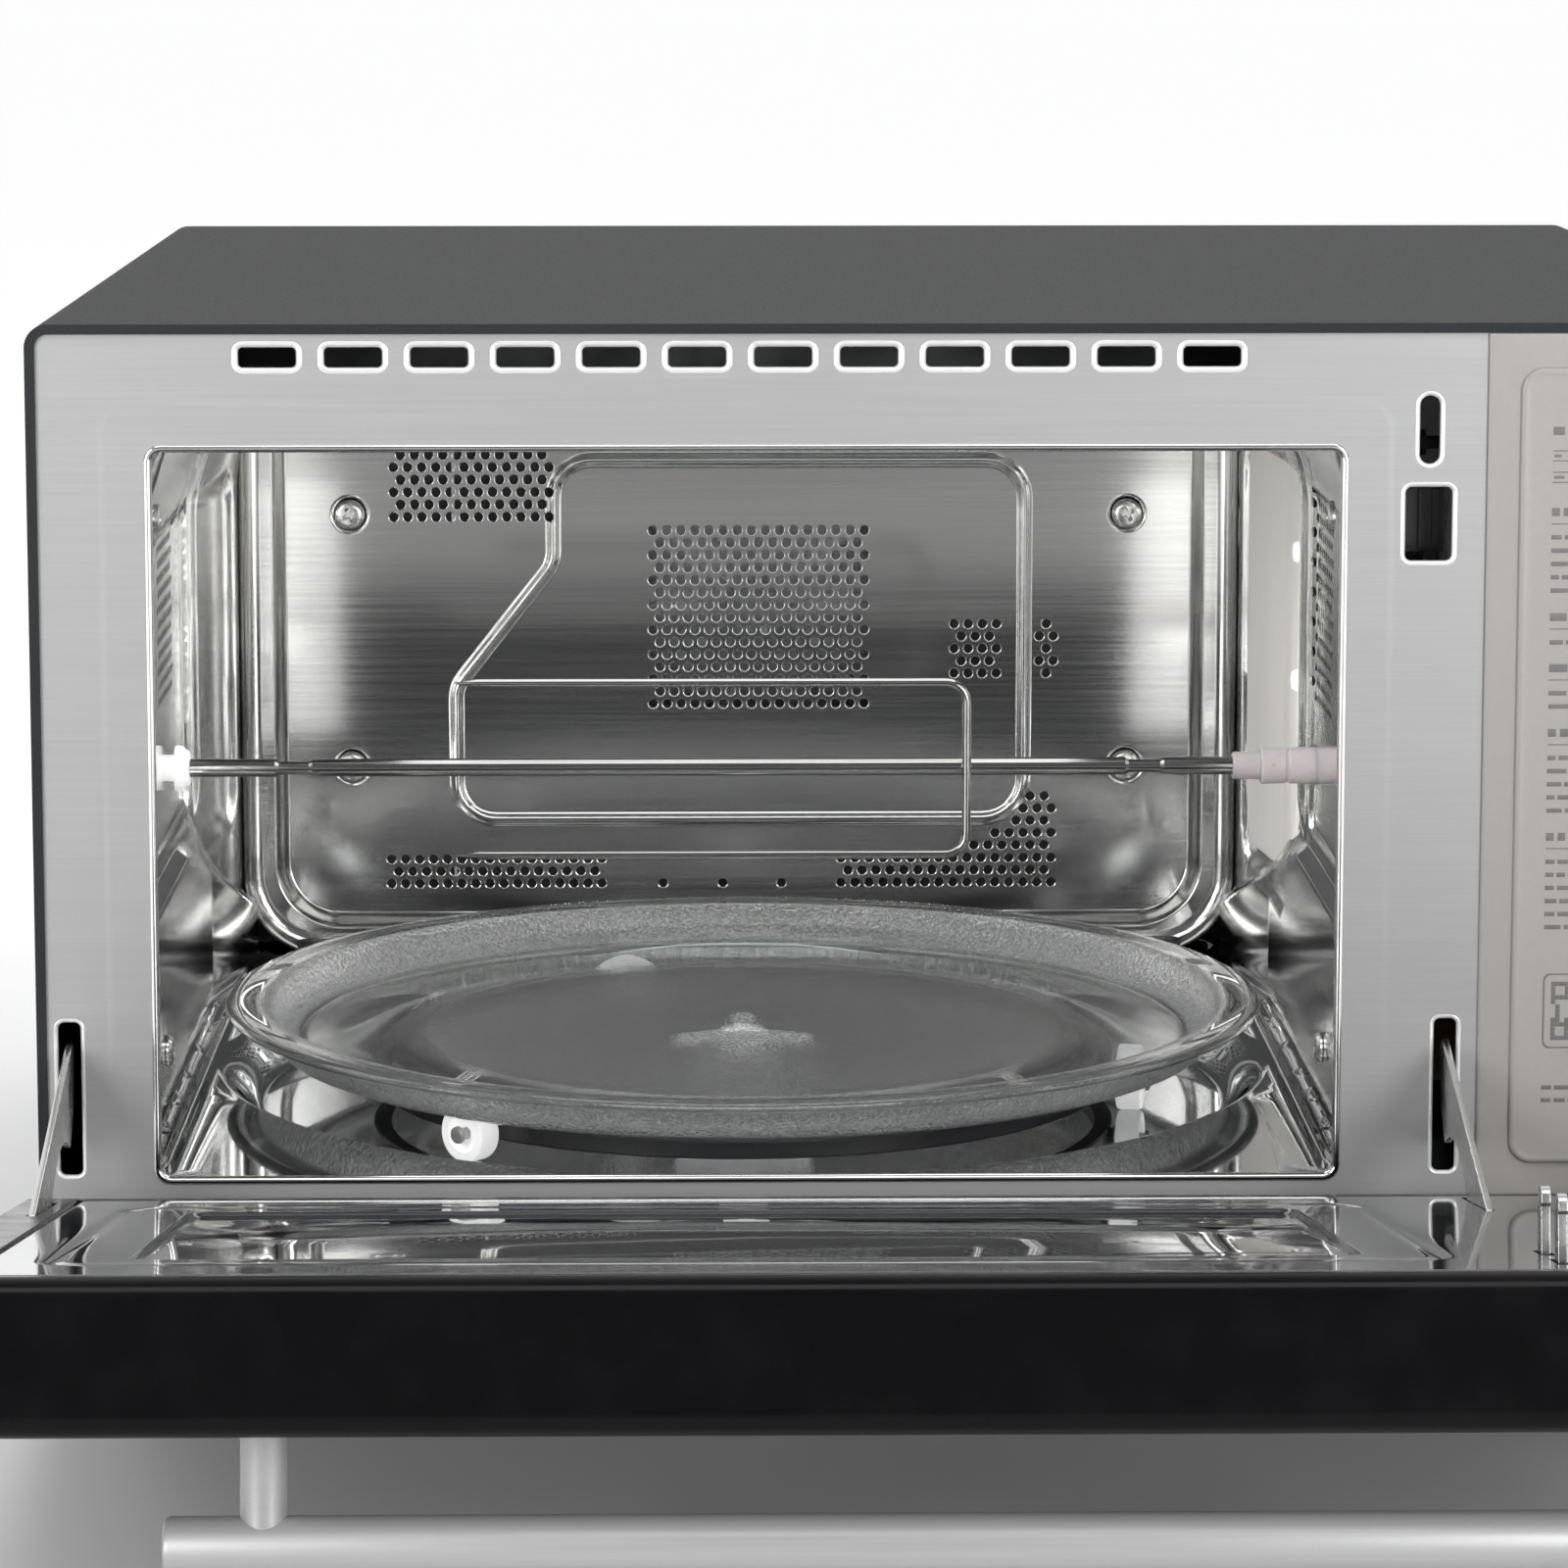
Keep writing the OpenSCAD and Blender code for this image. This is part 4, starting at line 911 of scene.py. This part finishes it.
def wall_face(y, z, right=False):
    """Distance of a side wall's face from the opening's middle."""
    y, z = np.asarray(y, float), np.asarray(z, float)
    # it opens out behind the rim, and draws in again towards the rear
    x = 178 + 11.5 * step(y, 8, 38) - 8.2 * np.clip((y - 262) / (WALL_Y1 - 262), 0, 1)
    # above the fold it leans inwards
    fold = FOLD_Z + 10 * right
    x = x - 0.32 * 3 * np.log1p(np.exp(np.clip((z - fold) / 3, -30, 30))) * step(y, 10, 60)
    # below a sloping line it stands 5 mm further in
    low = 128 - 47 * np.clip((y - 180) / 170, 0, 1) ** 1.1
    ramp = 5 + 15 * np.exp(-((y - 245) / 40) ** 2)
    x = x - 5.0 * (1 - step(z, low, low + ramp)) * step(y, 14, 60)
    # above that line are two sunk panels with an upright rib between them
    above = step(z, low + ramp * 0.6, low + ramp + 14)
    if right:
        x = x + 1.8 * (1 - step(in_rrect(y, z, 100, 136, 188, fold, 8), -4, 1))
        x = x - 2.6 * np.exp(-((y - 198) / 4.0) ** 2) * above
        x = x + 1.6 * (1 - step(in_rrect(y, z, 212, 100, 342, fold, 14), -4, 1))
    else:
        x = x + 2.0 * (1 - step(in_rrect(y, z, 106, 136, 240, fold, 10), -5, 1))
        x = x - 2.6 * np.exp(-((y - 252) / 5.0) ** 2) * above
        x = x + 2.4 * (1 - step(in_rrect(y, z, 266, 112, 346, fold, 16), -9, 1))
    return x


def build_side_wall(right):
    s = 1 if right else -1
    z0, z1 = FLOOR, CEILING
    outline = dense([(1.4, z0), (WALL_Y1, z0), (WALL_Y1, z1), (1.4, z1)], 6)
    y0, first, rows = (142, 182, 15) if right else (158, 185, 12)
    holes = [(y0 + (k + (row % 2) / 2) * 6, first + row * 5) for row in range(rows)
             for k in range(8)]
    loops = round_holes([h for h in holes if h[0] < 240])
    loops.append(round_holes([(CY, SPIT_Z)], 6.5 if right else 4.4, 32)[0])
    rib = 198 if right else 252
    extra = np.vstack([grid(2.5, 168, WALL_Y1 - 1, z1 - 1.5, 4.2, 4.2),
                       grid(2.5, z0 + 1.5, WALL_Y1 - 1, 165, 2.6, 2.2),
                       grid(rib - 12, z0 + 2, rib + 12, z1 - 2, 1.5, 3),
                       grid(4, FOLD_Z - 6, WALL_Y1 - 2, FOLD_Z + 14, 6, 1.4)])
    name = "right" if right else "left"
    sheet(f"{name}_wall_skin", outline, loops, [], extra,
          lambda u, v: np.zeros(np.shape(u)),
          lambda u, v, h: (OX + s * (wall_face(u, v, right) + h), u, v), 0.8, "wall_steel",
          slot="bright_steel", stands_for=[f"cavity_{name}_wall"])


def floor_height(u, v):
    """Depth of the floor below its flat: a round recess, and a rib and a raised bar on each side."""
    r = np.hypot(u - OX, v - CY)
    deep = FLOOR - RECESS
    h = deep * (1 - step(r, 160, 176))
    for s in (-1, 1):
        rib = np.abs(u - OX - s * RIB_X)
        h = h - 1.6 * np.exp(-(rib / 2.2) ** 2) * step(v, 8, 20) * (1 - step(v, 335, 350))
        du, dv = u - OX - s * BAR_X, v - BAR_Y
        along = du * 0.45 * s + dv * 0.9
        across = du * 0.9 - dv * 0.45 * s
        h = h - 1.2 * (1 - step(np.hypot(np.maximum(np.abs(across) - 5, 0), along), 1.0, 2.6)) \
            * (r < 163)
    # it turns up at the sides and the rear
    h = h - 5 * step(np.abs(u - OX), 181, 190) ** 2
    return h - 6 * step(v, 345, 364) ** 2


def build_floor():
    x1 = 188.5
    outline = dense([(OX - x1, 1.6), (OX + x1, 1.6), (OX + x1, 364), (OX - x1, 364)], 6)
    hole = round_holes([(OX, CY)], 8.6, 40)
    patches, lines = [], []
    for r in (9.5, 12, 40, 80, 120, 150, 158, 160, 162, 164, 166, 168, 170, 172, 174, 176, 178):
        a = np.linspace(0, 2 * math.pi, int(24 + r), endpoint=False)
        lines.append(np.array([OX + r * np.cos(a), CY + r * np.sin(a)]).T)
    for s in (-1, 1):
        rib = OX + s * RIB_X
        for o in (0.5, 1.1, 1.8, 2.6, 3.4):
            lines.append(dense(rrect(rib - o, 7, rib + o, 351, o, 3), 10))
        x, y = OX + s * BAR_X, BAR_Y
        patches.append(grid(x - 9, y - 11, x + 9, y + 11, 1.1))
        left, right = sorted((OX + s * 181, OX + s * 188))
        patches.append(grid(left, 5, right, 360, 1.4, 8))
    patches.append(grid(OX - 180, 5, OX + 180, 360, 14))
    patches.append(grid(OX - 180, 345, OX + 180, 363, 8, 2))
    extra = np.vstack(patches)
    keep = (np.abs(extra[:, 0] - OX) < x1 - 0.3) & (extra[:, 1] > 2) & (extra[:, 1] < 363.7)
    extra = extra[keep]
    # the floor's steel has a darkened base colour: painted shade
    sheet("floor_skin", outline, hole, lines, extra, floor_height,
          lambda u, v, h: (u, v, FLOOR - h), 0.8, "floor_steel", slot="bright_steel",
          stands_for=["cavity_floor"])


def build_waveguide_cover():
    """A pale sheet over the microwaves' way in, held by two clips; it follows the wall."""
    lo, hi = box_mm("waveguide_cover")
    y0, y1, z0, z1 = lo[1] - 8, hi[1] + 4, lo[2], hi[2] - 4

    def face(u, v, h):
        return (OX + wall_face(u, 190 + 0 * v, True) - 2.2 + h, u, v)
    outline = dense(rounded([(y0, z1), (y0, z0 + 30), (y0 + 26, z0 + 2), (y1 - 8, z0), (y1, z0 + 20),
                             (y1, z1)], [3, 6, 6, 4, 4, 3]), 4)
    inner = grid(y0 + 2, z0 + 2, y1 - 2, z1 - 2, 5)
    mid = outline.mean(0)
    lines = [mid + (outline - mid) * k for k in (0.996, 0.99, 0.982)]

    def eased(u, v):
        return 0.4 * (1 - step(to_line(u, v, outline), 0, 1.2))
    # the cover's mica glows faintly: painted light
    sheet("wave_cover", outline, [], lines, inner, eased, face, 1.0, "mica",
          stands_for=["waveguide_cover"])
    clips = Shape()
    for z in (z0 + 74, z1 - 26):
        x = OX + float(wall_face(y0 + 5, 190, True)) - 2.2
        clips.lathe((x, y0 + 5, z), "x", [(3.6, 0.5), (3.6, -0.8), (2.8, -1.8), (1.2, -2.1)], 24)
    # the clips glow faintly: painted light
    clips.make("cover_clips", "bright_plastic", slot="white_plastic")


# ---- Turntable ----

def build_tray():
    z0, top = tray_lo[2], tray_hi[2]
    base = [(0.4, z0), (107, z0), (148, z0), (152, z0 + 0.5), (156, z0 + 2.2), (159.6, z0 + 6),
            (161.4, top - 4.6), (163.4, top - 3.6), (170, top - 3.2), (172.2, top - 2.6),
            (TRAY_R - 0.1, top - 1.5), (TRAY_R - 0.6, top - 0.5), (171.2, top), (168, top - 0.3),
            (163.5, top - 0.8), (161, top - 0.4), (159, top - 0.7), (157.3, top - 2.4),
            (155.4, z0 + 9), (153, z0 + 6.4), (149.6, z0 + 4.7), (145.5, z0 + 4), (108.2, z0 + 4),
            (107.4, z0 + 4.12), (106.6, z0 + 4), (0.4, z0 + 4)]
    shape = Shape().lathe((OX, CY, 0), "z", base, 160)
    shape.make("tray_glass_dish", "clear_glass", body="turntable", stands_for=["glass_tray"], sharp=50)


def build_hub():
    """The three-armed driver under the glass."""
    z1 = tray_lo[2]
    shape = Shape()
    shape.lathe((OX, CY, 0), "z", [(8, RECESS + 3), (8, z1 - 1), (7.2, z1 - 0.05)], 40)
    shape.lathe((OX, CY, 0), "z", [(3, 33), (3, RECESS + 3.2)], 24)
    for angle in (90, 210, 330):
        turn = Matrix.Rotation(math.radians(angle), 3, "Z")
        loops = []
        for z, grow in ((z1 - 6, -0.6), (z1 - 5.4, 0), (z1 - 0.8, 0), (z1 - 0.05, -0.7)):
            w = 3.5 + grow
            pts = [(0, -w), (19, -w * 1.15)]
            pts += [(22 + (w + 0.6) * math.cos(a), (w + 0.6) * math.sin(a))
                    for a in np.linspace(-1.3, 1.3, 10)] + [(19, w * 1.15), (0, w)]
            loops.append([turn @ Vector((x, y, 0)) + Vector((OX, CY, z)) for x, y in pts])
        shape.stack(loops)
    # the driver glows faintly: painted light
    shape.make("tray_driver", "bright_plastic", body="turntable", slot="white_plastic",
               stands_for=["turntable_coupler"])


def build_rollers():
    lo, hi = box_mm("roller_1")
    angles = []
    for k in (1, 2, 3):
        a, b = box_mm(f"roller_{k}")
        mid = (a + b) / 2
        angles.append(math.atan2(mid[1] - CY, mid[0] - OX))
    axle_z = float(lo[2] + hi[2]) / 2
    radius = float(hi[2] - lo[2]) / 2
    ring = Shape()
    ring.lathe((OX, CY, axle_z), "z", [(118.6, -3), (118, -2.4), (118, 2.4), (118.6, 3),
                                       (123.4, 3), (124, 2.4), (124, -2.4), (123.4, -3)], 120, True)
    pins = Shape()
    for k, angle in enumerate(angles):
        ahead = Vector((math.cos(angle), math.sin(angle), 0))
        origin = Vector((OX, CY, axle_z))
        ring.tube([origin + ahead * d for d in (122, 125.8)], 3.2, 20)
        pins.tube([origin + ahead * d for d in (125, 137.6)], 1.9, 20)
        pins.tube([origin + ahead * d for d in (136.2, 137.2, 137.5)], [2.9, 2.7, 2.2], 24)
        wheel = Shape()
        side = Vector((-ahead.y, ahead.x, 0))
        loops = []
        for r, d in ((2.2, 133.0), (5.4, 133.0), (5.9, 133.6), (6.1, 134.7), (radius - 0.9, 135),
                     (radius - 0.25, 134.75), (radius, 134.0), (radius, 128), (radius - 0.25, 127.25),
                     (radius - 0.9, 127), (2.2, 127)):
            loops.append([origin + ahead * d + r * (math.cos(a) * side + math.sin(a) * Vector((0, 0, 1)))
                          for a in np.linspace(0, 2 * math.pi, 56, endpoint=False)])
        wheel.stack(loops, closed=True)
        # the wheel glows faintly: painted light
        wheel.make(f"wheel_{k + 1}", "bright_plastic", body=f"roller_{k + 1}", slot="white_plastic",
                   stands_for=[f"roller_{k + 1}"])
    ring.make("roller_hoop", "black_plastic", body="roller_ring", stands_for=["roller_ring"])
    pins.make("roller_pins", "pin_grey", body="roller_ring", slot="zinc_steel")


# ---- Rotisserie ----

def build_rotisserie():
    origin = (OX, CY, SPIT_Z)
    rod = Shape().lathe(origin, "x", [
        (2.2, -191.4), (3, -190.6), (3, -155.8), (2.2, -154.6), (2.2, -144.6), (3, -143.4),
        (3, 127.6), (2.2, 128.8), (2.2, 139.4), (3, 140.6), (3, 172.6)], 32)
    rod.make("spit_rod", "wire_steel", body="rotisserie", stands_for=["spit"])
    flo, fhi = box_mm("spit_fork")
    wire, bend = 1.5, 7.0
    half = (fhi[2] - flo[2]) / 2 - wire
    x0, x1 = flo[0], fhi[0] - wire
    tip = ((0, 0.15), (3, 0.7), (8, wire))
    course = [(x0 + d, SPIT_Z - half, r) for d, r in tip]
    for up, start in ((-1, -90), (1, 0)):
        cx, cz = x1 - bend, SPIT_Z + up * (half - bend)
        course += [(cx + bend * math.cos(math.radians(a)), cz + bend * math.sin(math.radians(a)), wire)
                   for a in np.linspace(start, start + 90, 9)]
    course += [(x0 + d, SPIT_Z + half, r) for d, r in reversed(tip)]
    path = [(x, CY - 4.5, z) for x, z, _ in course]
    radii = [r for _, _, r in course]
    fork = Shape().tube(path, radii, 18)
    fork.make("fork_wire", "wire_steel", body="rotisserie", stands_for=["spit_fork"])
    coupler = Shape()
    coupler.lathe(origin, "x", [(3, 163.6), (4.3, 163.6), (4.6, 164), (4.6, 172.7), (3, 172.7)], 40)
    coupler.lathe(origin, "x", [
        (4, 172.8), (5.6, 172.8), (6.1, 173.3), (6.2, 174), (6.0, 181.0), (5.6, 181.4), (5.6, 182.2),
        (6.0, 182.6), (6.2, 186), (6.2, 191.6), (5.8, 192.4), (3.4, 192.6), (3.4, 209)], 48)
    coupler.make("coupler_socket", "frosted_plastic", body="rotisserie", stands_for=["spit_coupler"])
    bush = Shape().lathe(origin, "x", [(3.1, -191.5), (4.4, -191.5), (4.4, -188.9), (7.4, -188.9),
                                       (7.6, -188.2), (7.2, -186.2), (6.2, -185.6), (5.8, -184.6),
                                       (5.2, -184.2), (3.1, -184.2)], 48, True)
    # the bearing glows faintly: painted light
    bush.make("spit_bearing", "bright_plastic", slot="white_plastic", stands_for=["spit_bush"])


# ---- Door, drawn closed ----

OUTSIDE = -43.0
DIAL_X, DIAL_Z = 212, 110


def build_door():
    """The pressed liner with its window, and the glass on the outside."""
    left, right = -249.0, 257.0
    z0, z1 = 52.0, 312.0
    face = -3.0
    x0, x1 = OX - 157.8, OX + 153.5
    w0, w1 = 103.0, 262.0
    window = (x0, w0, x1, w1, 3)
    groove = (x0 - 22, w0 - 18, x1 + 22, w1 + 18, 12)
    outline = dense([(left, z0), (right, z0), (right, z1), (left, z1)], 12)
    slots = [slot_points(LATCH_X, z - 1, 4, 18, 1.9) for z in (LATCH_Z, WINDOW_Z)]
    slots.append(rrect(HINGE_X[1] - 1.4, 60, HINGE_X[1] + 1.4, 113.3, 0.5, 2))

    def pressed(u, v):
        """How far the liner sinks at its window and rim, and in the groove round the window."""
        h = 1.5 * (1 - step(in_rrect(u, v, *window), 0.8, 3.4))
        rim = -in_rrect(u, v, left, z0, right, z1, 4)
        h = h + 0.9 * (1 - step(rim, 0.2, 2.4))
        return h + 0.7 * np.exp(-(in_rrect(u, v, *groove) / 2.2) ** 2)

    lines = []
    for o in (0.8, 1.4, 2.1, 2.8, 3.5):
        lines.append(dense(grown(window, o, 6), 12))
        o = o * 0.72
        lines.append(dense(rrect(left + o, z0 + o, right - o, z1 - o, 4, 4), 12))
    lines += [dense(grown(groove, o), 12) for o in (-6, -4, -2.8, -1.4, 0, 1.4, 2.8, 4, 6)]
    extra = grid(left + 4, z0 + 4, right - 4, z1 - 4, 13)
    sheet("door_liner", outline, [rrect(*window, 6), *slots], lines, extra, pressed,
          lambda u, v, h: (u, face - h, v), 1.2, "smoke_panel", body="door",
          stands_for=["door_inner_panel"], swing=True)
    pane = Shape().slab(lambda i: rrect(x0 + i + 0.2, w0 + i + 0.2, x1 - i - 0.2, w1 - i - 0.2, 3, 6),
                        face - 1.1, face - 2.6, 0.5)
    pane.make("door_pane", "smoke_glass", body="door", stands_for=["door_window"], swing=True)
    glass = Shape().slab(lambda i: rrect(-259 + i, 52 + i, 259 - i, 313 - i, 2.5, 5),
                         OUTSIDE, OUTSIDE + 4, 0.7)
    glass.make("door_face_glass", "black_glass", body="door", stands_for=["door_glass"], swing=True)
    build_door_marks()


def build_door_marks():
    """Plain marks on the glass: two columns of keys, four digits and the dial's ticks."""
    marks = Shape()

    def mark(x, z, w, h):
        marks.block((x - w / 2, OUTSIDE - 0.04, z - h / 2), (x + w / 2, OUTSIDE + 0.1, z + h / 2), 0.05)

    for row in range(5):
        for col in range(2):
            x, z = 194 + 34 * col, 228 - 17 * row
            mark(x, z, 12, 1)
            mark(x, z - 2.6, 6, 0.8)
    digit_z = 262
    for x in (190, 203, 221, 234):
        for dz in (-6.5, 0, 6.5):
            mark(x, digit_z + dz, 7, 1)
        for dx in (-4, 4):
            for dz in (-3.2, 3.2):
                mark(x + dx, digit_z + dz, 1, 5)
    for t in np.linspace(-140, 140, 15):
        a = math.radians(t + 90)
        mark(DIAL_X + 25.5 * math.cos(a), DIAL_Z + 25.5 * math.sin(a), 1, 1)
    marks.make("door_marks", "print_pale", body="door", swing=True, sharp=60)


def build_handle():
    y, z, r = -73.0, 292.0, 8.0
    bar = Shape().rod((0, y, z), "x", r, -200, 200, 1.6, 40)
    for s in (-1, 1):
        bar.lathe((s * 175, 0, z), "y", [(6, y), (6, OUTSIDE - 3), (6.6, OUTSIDE - 1.2),
                                         (7.4, OUTSIDE - 0.05)], 32)
    bar.make("handle_bar", "satin_steel", body="door", stands_for=["door_handle"], swing=True)


def build_dial():
    """A fluted knob, a pointer bar and its shaft."""
    n = 96
    loops = []
    for r, y, flute in ((19.2, -43.3, 0), (20, -44.2, 0.35), (20, -56.5, 0.35), (19.4, -60, 0.1),
                        (18.4, -61, 0), (16.5, -61, 0), (16.1, -60.5, 0), (15.4, -60.5, 0),
                        (2, -60.5, 0)):
        loops.append([(DIAL_X + (r - flute * (k % 2)) * math.cos(2 * math.pi * k / n), y,
                       DIAL_Z + (r - flute * (k % 2)) * math.sin(2 * math.pi * k / n))
                      for k in range(n)])
    knob = Shape().stack(loops)
    knob.block((DIAL_X - 0.7, -61.25, DIAL_Z + 10), (DIAL_X + 0.7, -60.4, DIAL_Z + 15.5), 0.1)
    knob.lathe((DIAL_X, 0, DIAL_Z), "y", [(3, -43.4), (3, -28)], 24)
    knob.make("dial_knob", "aluminium", body="control_dial",
              stands_for=["control_dial"], swing=True, sharp=22)


# ---- The rest of the CAD part ----

def build_soft_edges():
    for node, mat, width in (
            ("outer_casing", "casing_paint", 0.35), ("lower_trim", "casing_paint", 0.5),
            ("door_frame", "gloss_black", 0.8), ("rear_panel", "galvanised", 0.2),
            ("feet", "rubber", 0.8), ("mains_gland", "black_plastic", 0.5),
            ("casing_screws", "zinc_steel", 0.4), ("interlock_lever", "black_plastic", 0.3),
            ("hinge_arms", "zinc_steel", 0.45), ("hinge_pins", "zinc_steel", 0.4),
            ("door_latch", "zinc_steel", 0.35), ("hinge_brackets", "zinc_steel", 0.3)):
        soften(node, mat, width)


def colour_cad_nodes():
    """Gives every CAD node the material that the record names."""
    for part in frame["record"]["subparts"]:
        obj = frame["nodes"][part["node"]]
        obj.data.materials.clear()
        obj.data.materials.append(mats[part["material_slot"]])


build_front_plate()
build_slot_lips()
build_rim()
build_control_side()
build_rear_wall()
build_hole_shade_pads()
build_side_wall(False)
build_side_wall(True)
build_floor()
build_screws()
build_waveguide_cover()
build_tray()
build_hub()
build_rollers()
build_rotisserie()
build_door()
build_handle()
build_dial()
build_soft_edges()
colour_cad_nodes()


# ---- Floor and light ----

def pale_floor():
    """A pale floor with painted light and shade: it glows white behind and beside the object, and is
    painted greyer in front, where the steel mirrors it.
    """
    tree, shader = finish("pale_floor", (0.86, 0.86, 0.86), 0.7, 0, 0.01, 0.05, (3, 3, 3))
    coord = tree.nodes.new("ShaderNodeTexCoord")
    axes = tree.nodes.new("ShaderNodeSeparateXYZ")
    tree.links.new(coord.outputs["Object"], axes.inputs["Vector"])

    def ease(socket, lo, hi, top=1.0):
        return remap(tree, socket, lo, hi, 0, top, "SMOOTHSTEP")

    aside = calc(tree, "ABSOLUTE", calc(tree, "SUBTRACT", axes.outputs["X"], OX * MM))
    # clear is 1 behind and beside the object and 0 in front, where the floor is painted darker as shade
    clear = calc(tree, "MAXIMUM", ease(axes.outputs["Y"], -1.0, -0.2), ease(aside, 0.25, 0.6))
    # the floor glows behind and beside the object: painted light
    glow = calc(tree, "MAXIMUM", ease(axes.outputs["Y"], -0.5, 1.2, 0.5), ease(aside, 0.3, 0.9, 0.5))
    tree.links.new(glow, shader.inputs["Emission Strength"])
    shader.inputs["Emission Color"].default_value = (1, 1, 1, 1)
    painted_shade_factor = calc(tree, "ADD", calc(tree, "MULTIPLY", clear, 0.58), 0.42)
    # the floor's colour, darkened in front: painted shade
    base = shader.inputs["Base Color"].links[0].from_socket
    darker = tree.nodes.new("ShaderNodeVectorMath")
    darker.operation = "SCALE"
    tree.links.new(base, darker.inputs[0])
    tree.links.new(painted_shade_factor, darker.inputs["Scale"])
    tree.links.new(darker.outputs["Vector"], shader.inputs["Base Color"])


def build_ground():
    pale_floor()
    half = 30
    mesh = bpy.data.meshes.new("ground")
    corners = [(-half, -half, 0), (half, -half, 0), (half, half, 0), (-half, half, 0)]
    mesh.from_pydata(corners, [], [(0, 1, 2, 3)])
    mesh.materials.append(mats["pale_floor"])
    ground = bpy.data.objects.new("ground", mesh)
    bpy.context.scene.collection.objects.link(ground)


build_ground()


def build_world():
    """White behind the object and overhead, and a darker studio behind the camera."""
    world = bpy.data.worlds.new("world")
    world.use_nodes = True
    tree = world.node_tree
    coord = tree.nodes.new("ShaderNodeTexCoord")
    axes = tree.nodes.new("ShaderNodeSeparateXYZ")
    ramp = tree.nodes.new("ShaderNodeValToRGB")
    tree.links.new(coord.outputs["Generated"], axes.inputs["Vector"])
    tree.links.new(remap(tree, axes.outputs["Y"], -1, 1), ramp.inputs["Fac"])
    ramp.color_ramp.elements[0].position = 0.0
    ramp.color_ramp.elements[0].color = (0.16, 0.16, 0.165, 1)
    ramp.color_ramp.elements[1].position = 0.8
    ramp.color_ramp.elements[1].color = (1, 1, 1, 1)
    step_up = ramp.color_ramp.elements.new(0.45)
    step_up.color = (0.26, 0.26, 0.265, 1)
    tree.links.new(ramp.outputs["Color"], tree.nodes["Background"].inputs["Color"])
    bpy.context.scene.world = world


build_world()
bpy.context.scene.view_settings.view_transform = "Standard"


def softbox(name, place_m, look_m, size, watts):
    light = bpy.data.lights.new(name, "AREA")
    light.shape = "RECTANGLE"
    light.size, light.size_y = size
    light.energy = watts
    obj = bpy.data.objects.new(name, light)
    obj.location = place_m
    obj.rotation_euler = (Vector(look_m) - Vector(place_m)).to_track_quat("-Z", "Y").to_euler()
    bpy.context.scene.collection.objects.link(obj)


def build_lights():
    """Two tall boxes in front, one above, the oven's own lamp, and a glow at the rear wall's ends."""
    middle = (OX * MM, 0.05, 0.17)
    softbox("box_left", (-1.5, -1.9, 0.75), middle, (0.6, 1.3), 26)
    softbox("box_right", (1.3, -1.9, 0.75), middle, (0.6, 1.3), 26)
    softbox("box_top", (0, -1.2, 2.1), middle, (2.2, 0.9), 20)
    lamp = frame_points([OX, CY - 20, CEILING - 4])[0]
    softbox("cavity_lamp_light", lamp, lamp - np.array([0, 0, 1]), (0.24, 0.14), 0.22)
    for side in (-1, 1):
        spot = frame_points([OX + side * 171, CY + 25, SPIT_Z + 8])[0]
        ahead = np.array([side * 0.002, 0.1, 0])
        softbox(f"wall_glow_{side + 1}", spot, spot + ahead, (0.03, 0.10), 0.008)


build_lights()
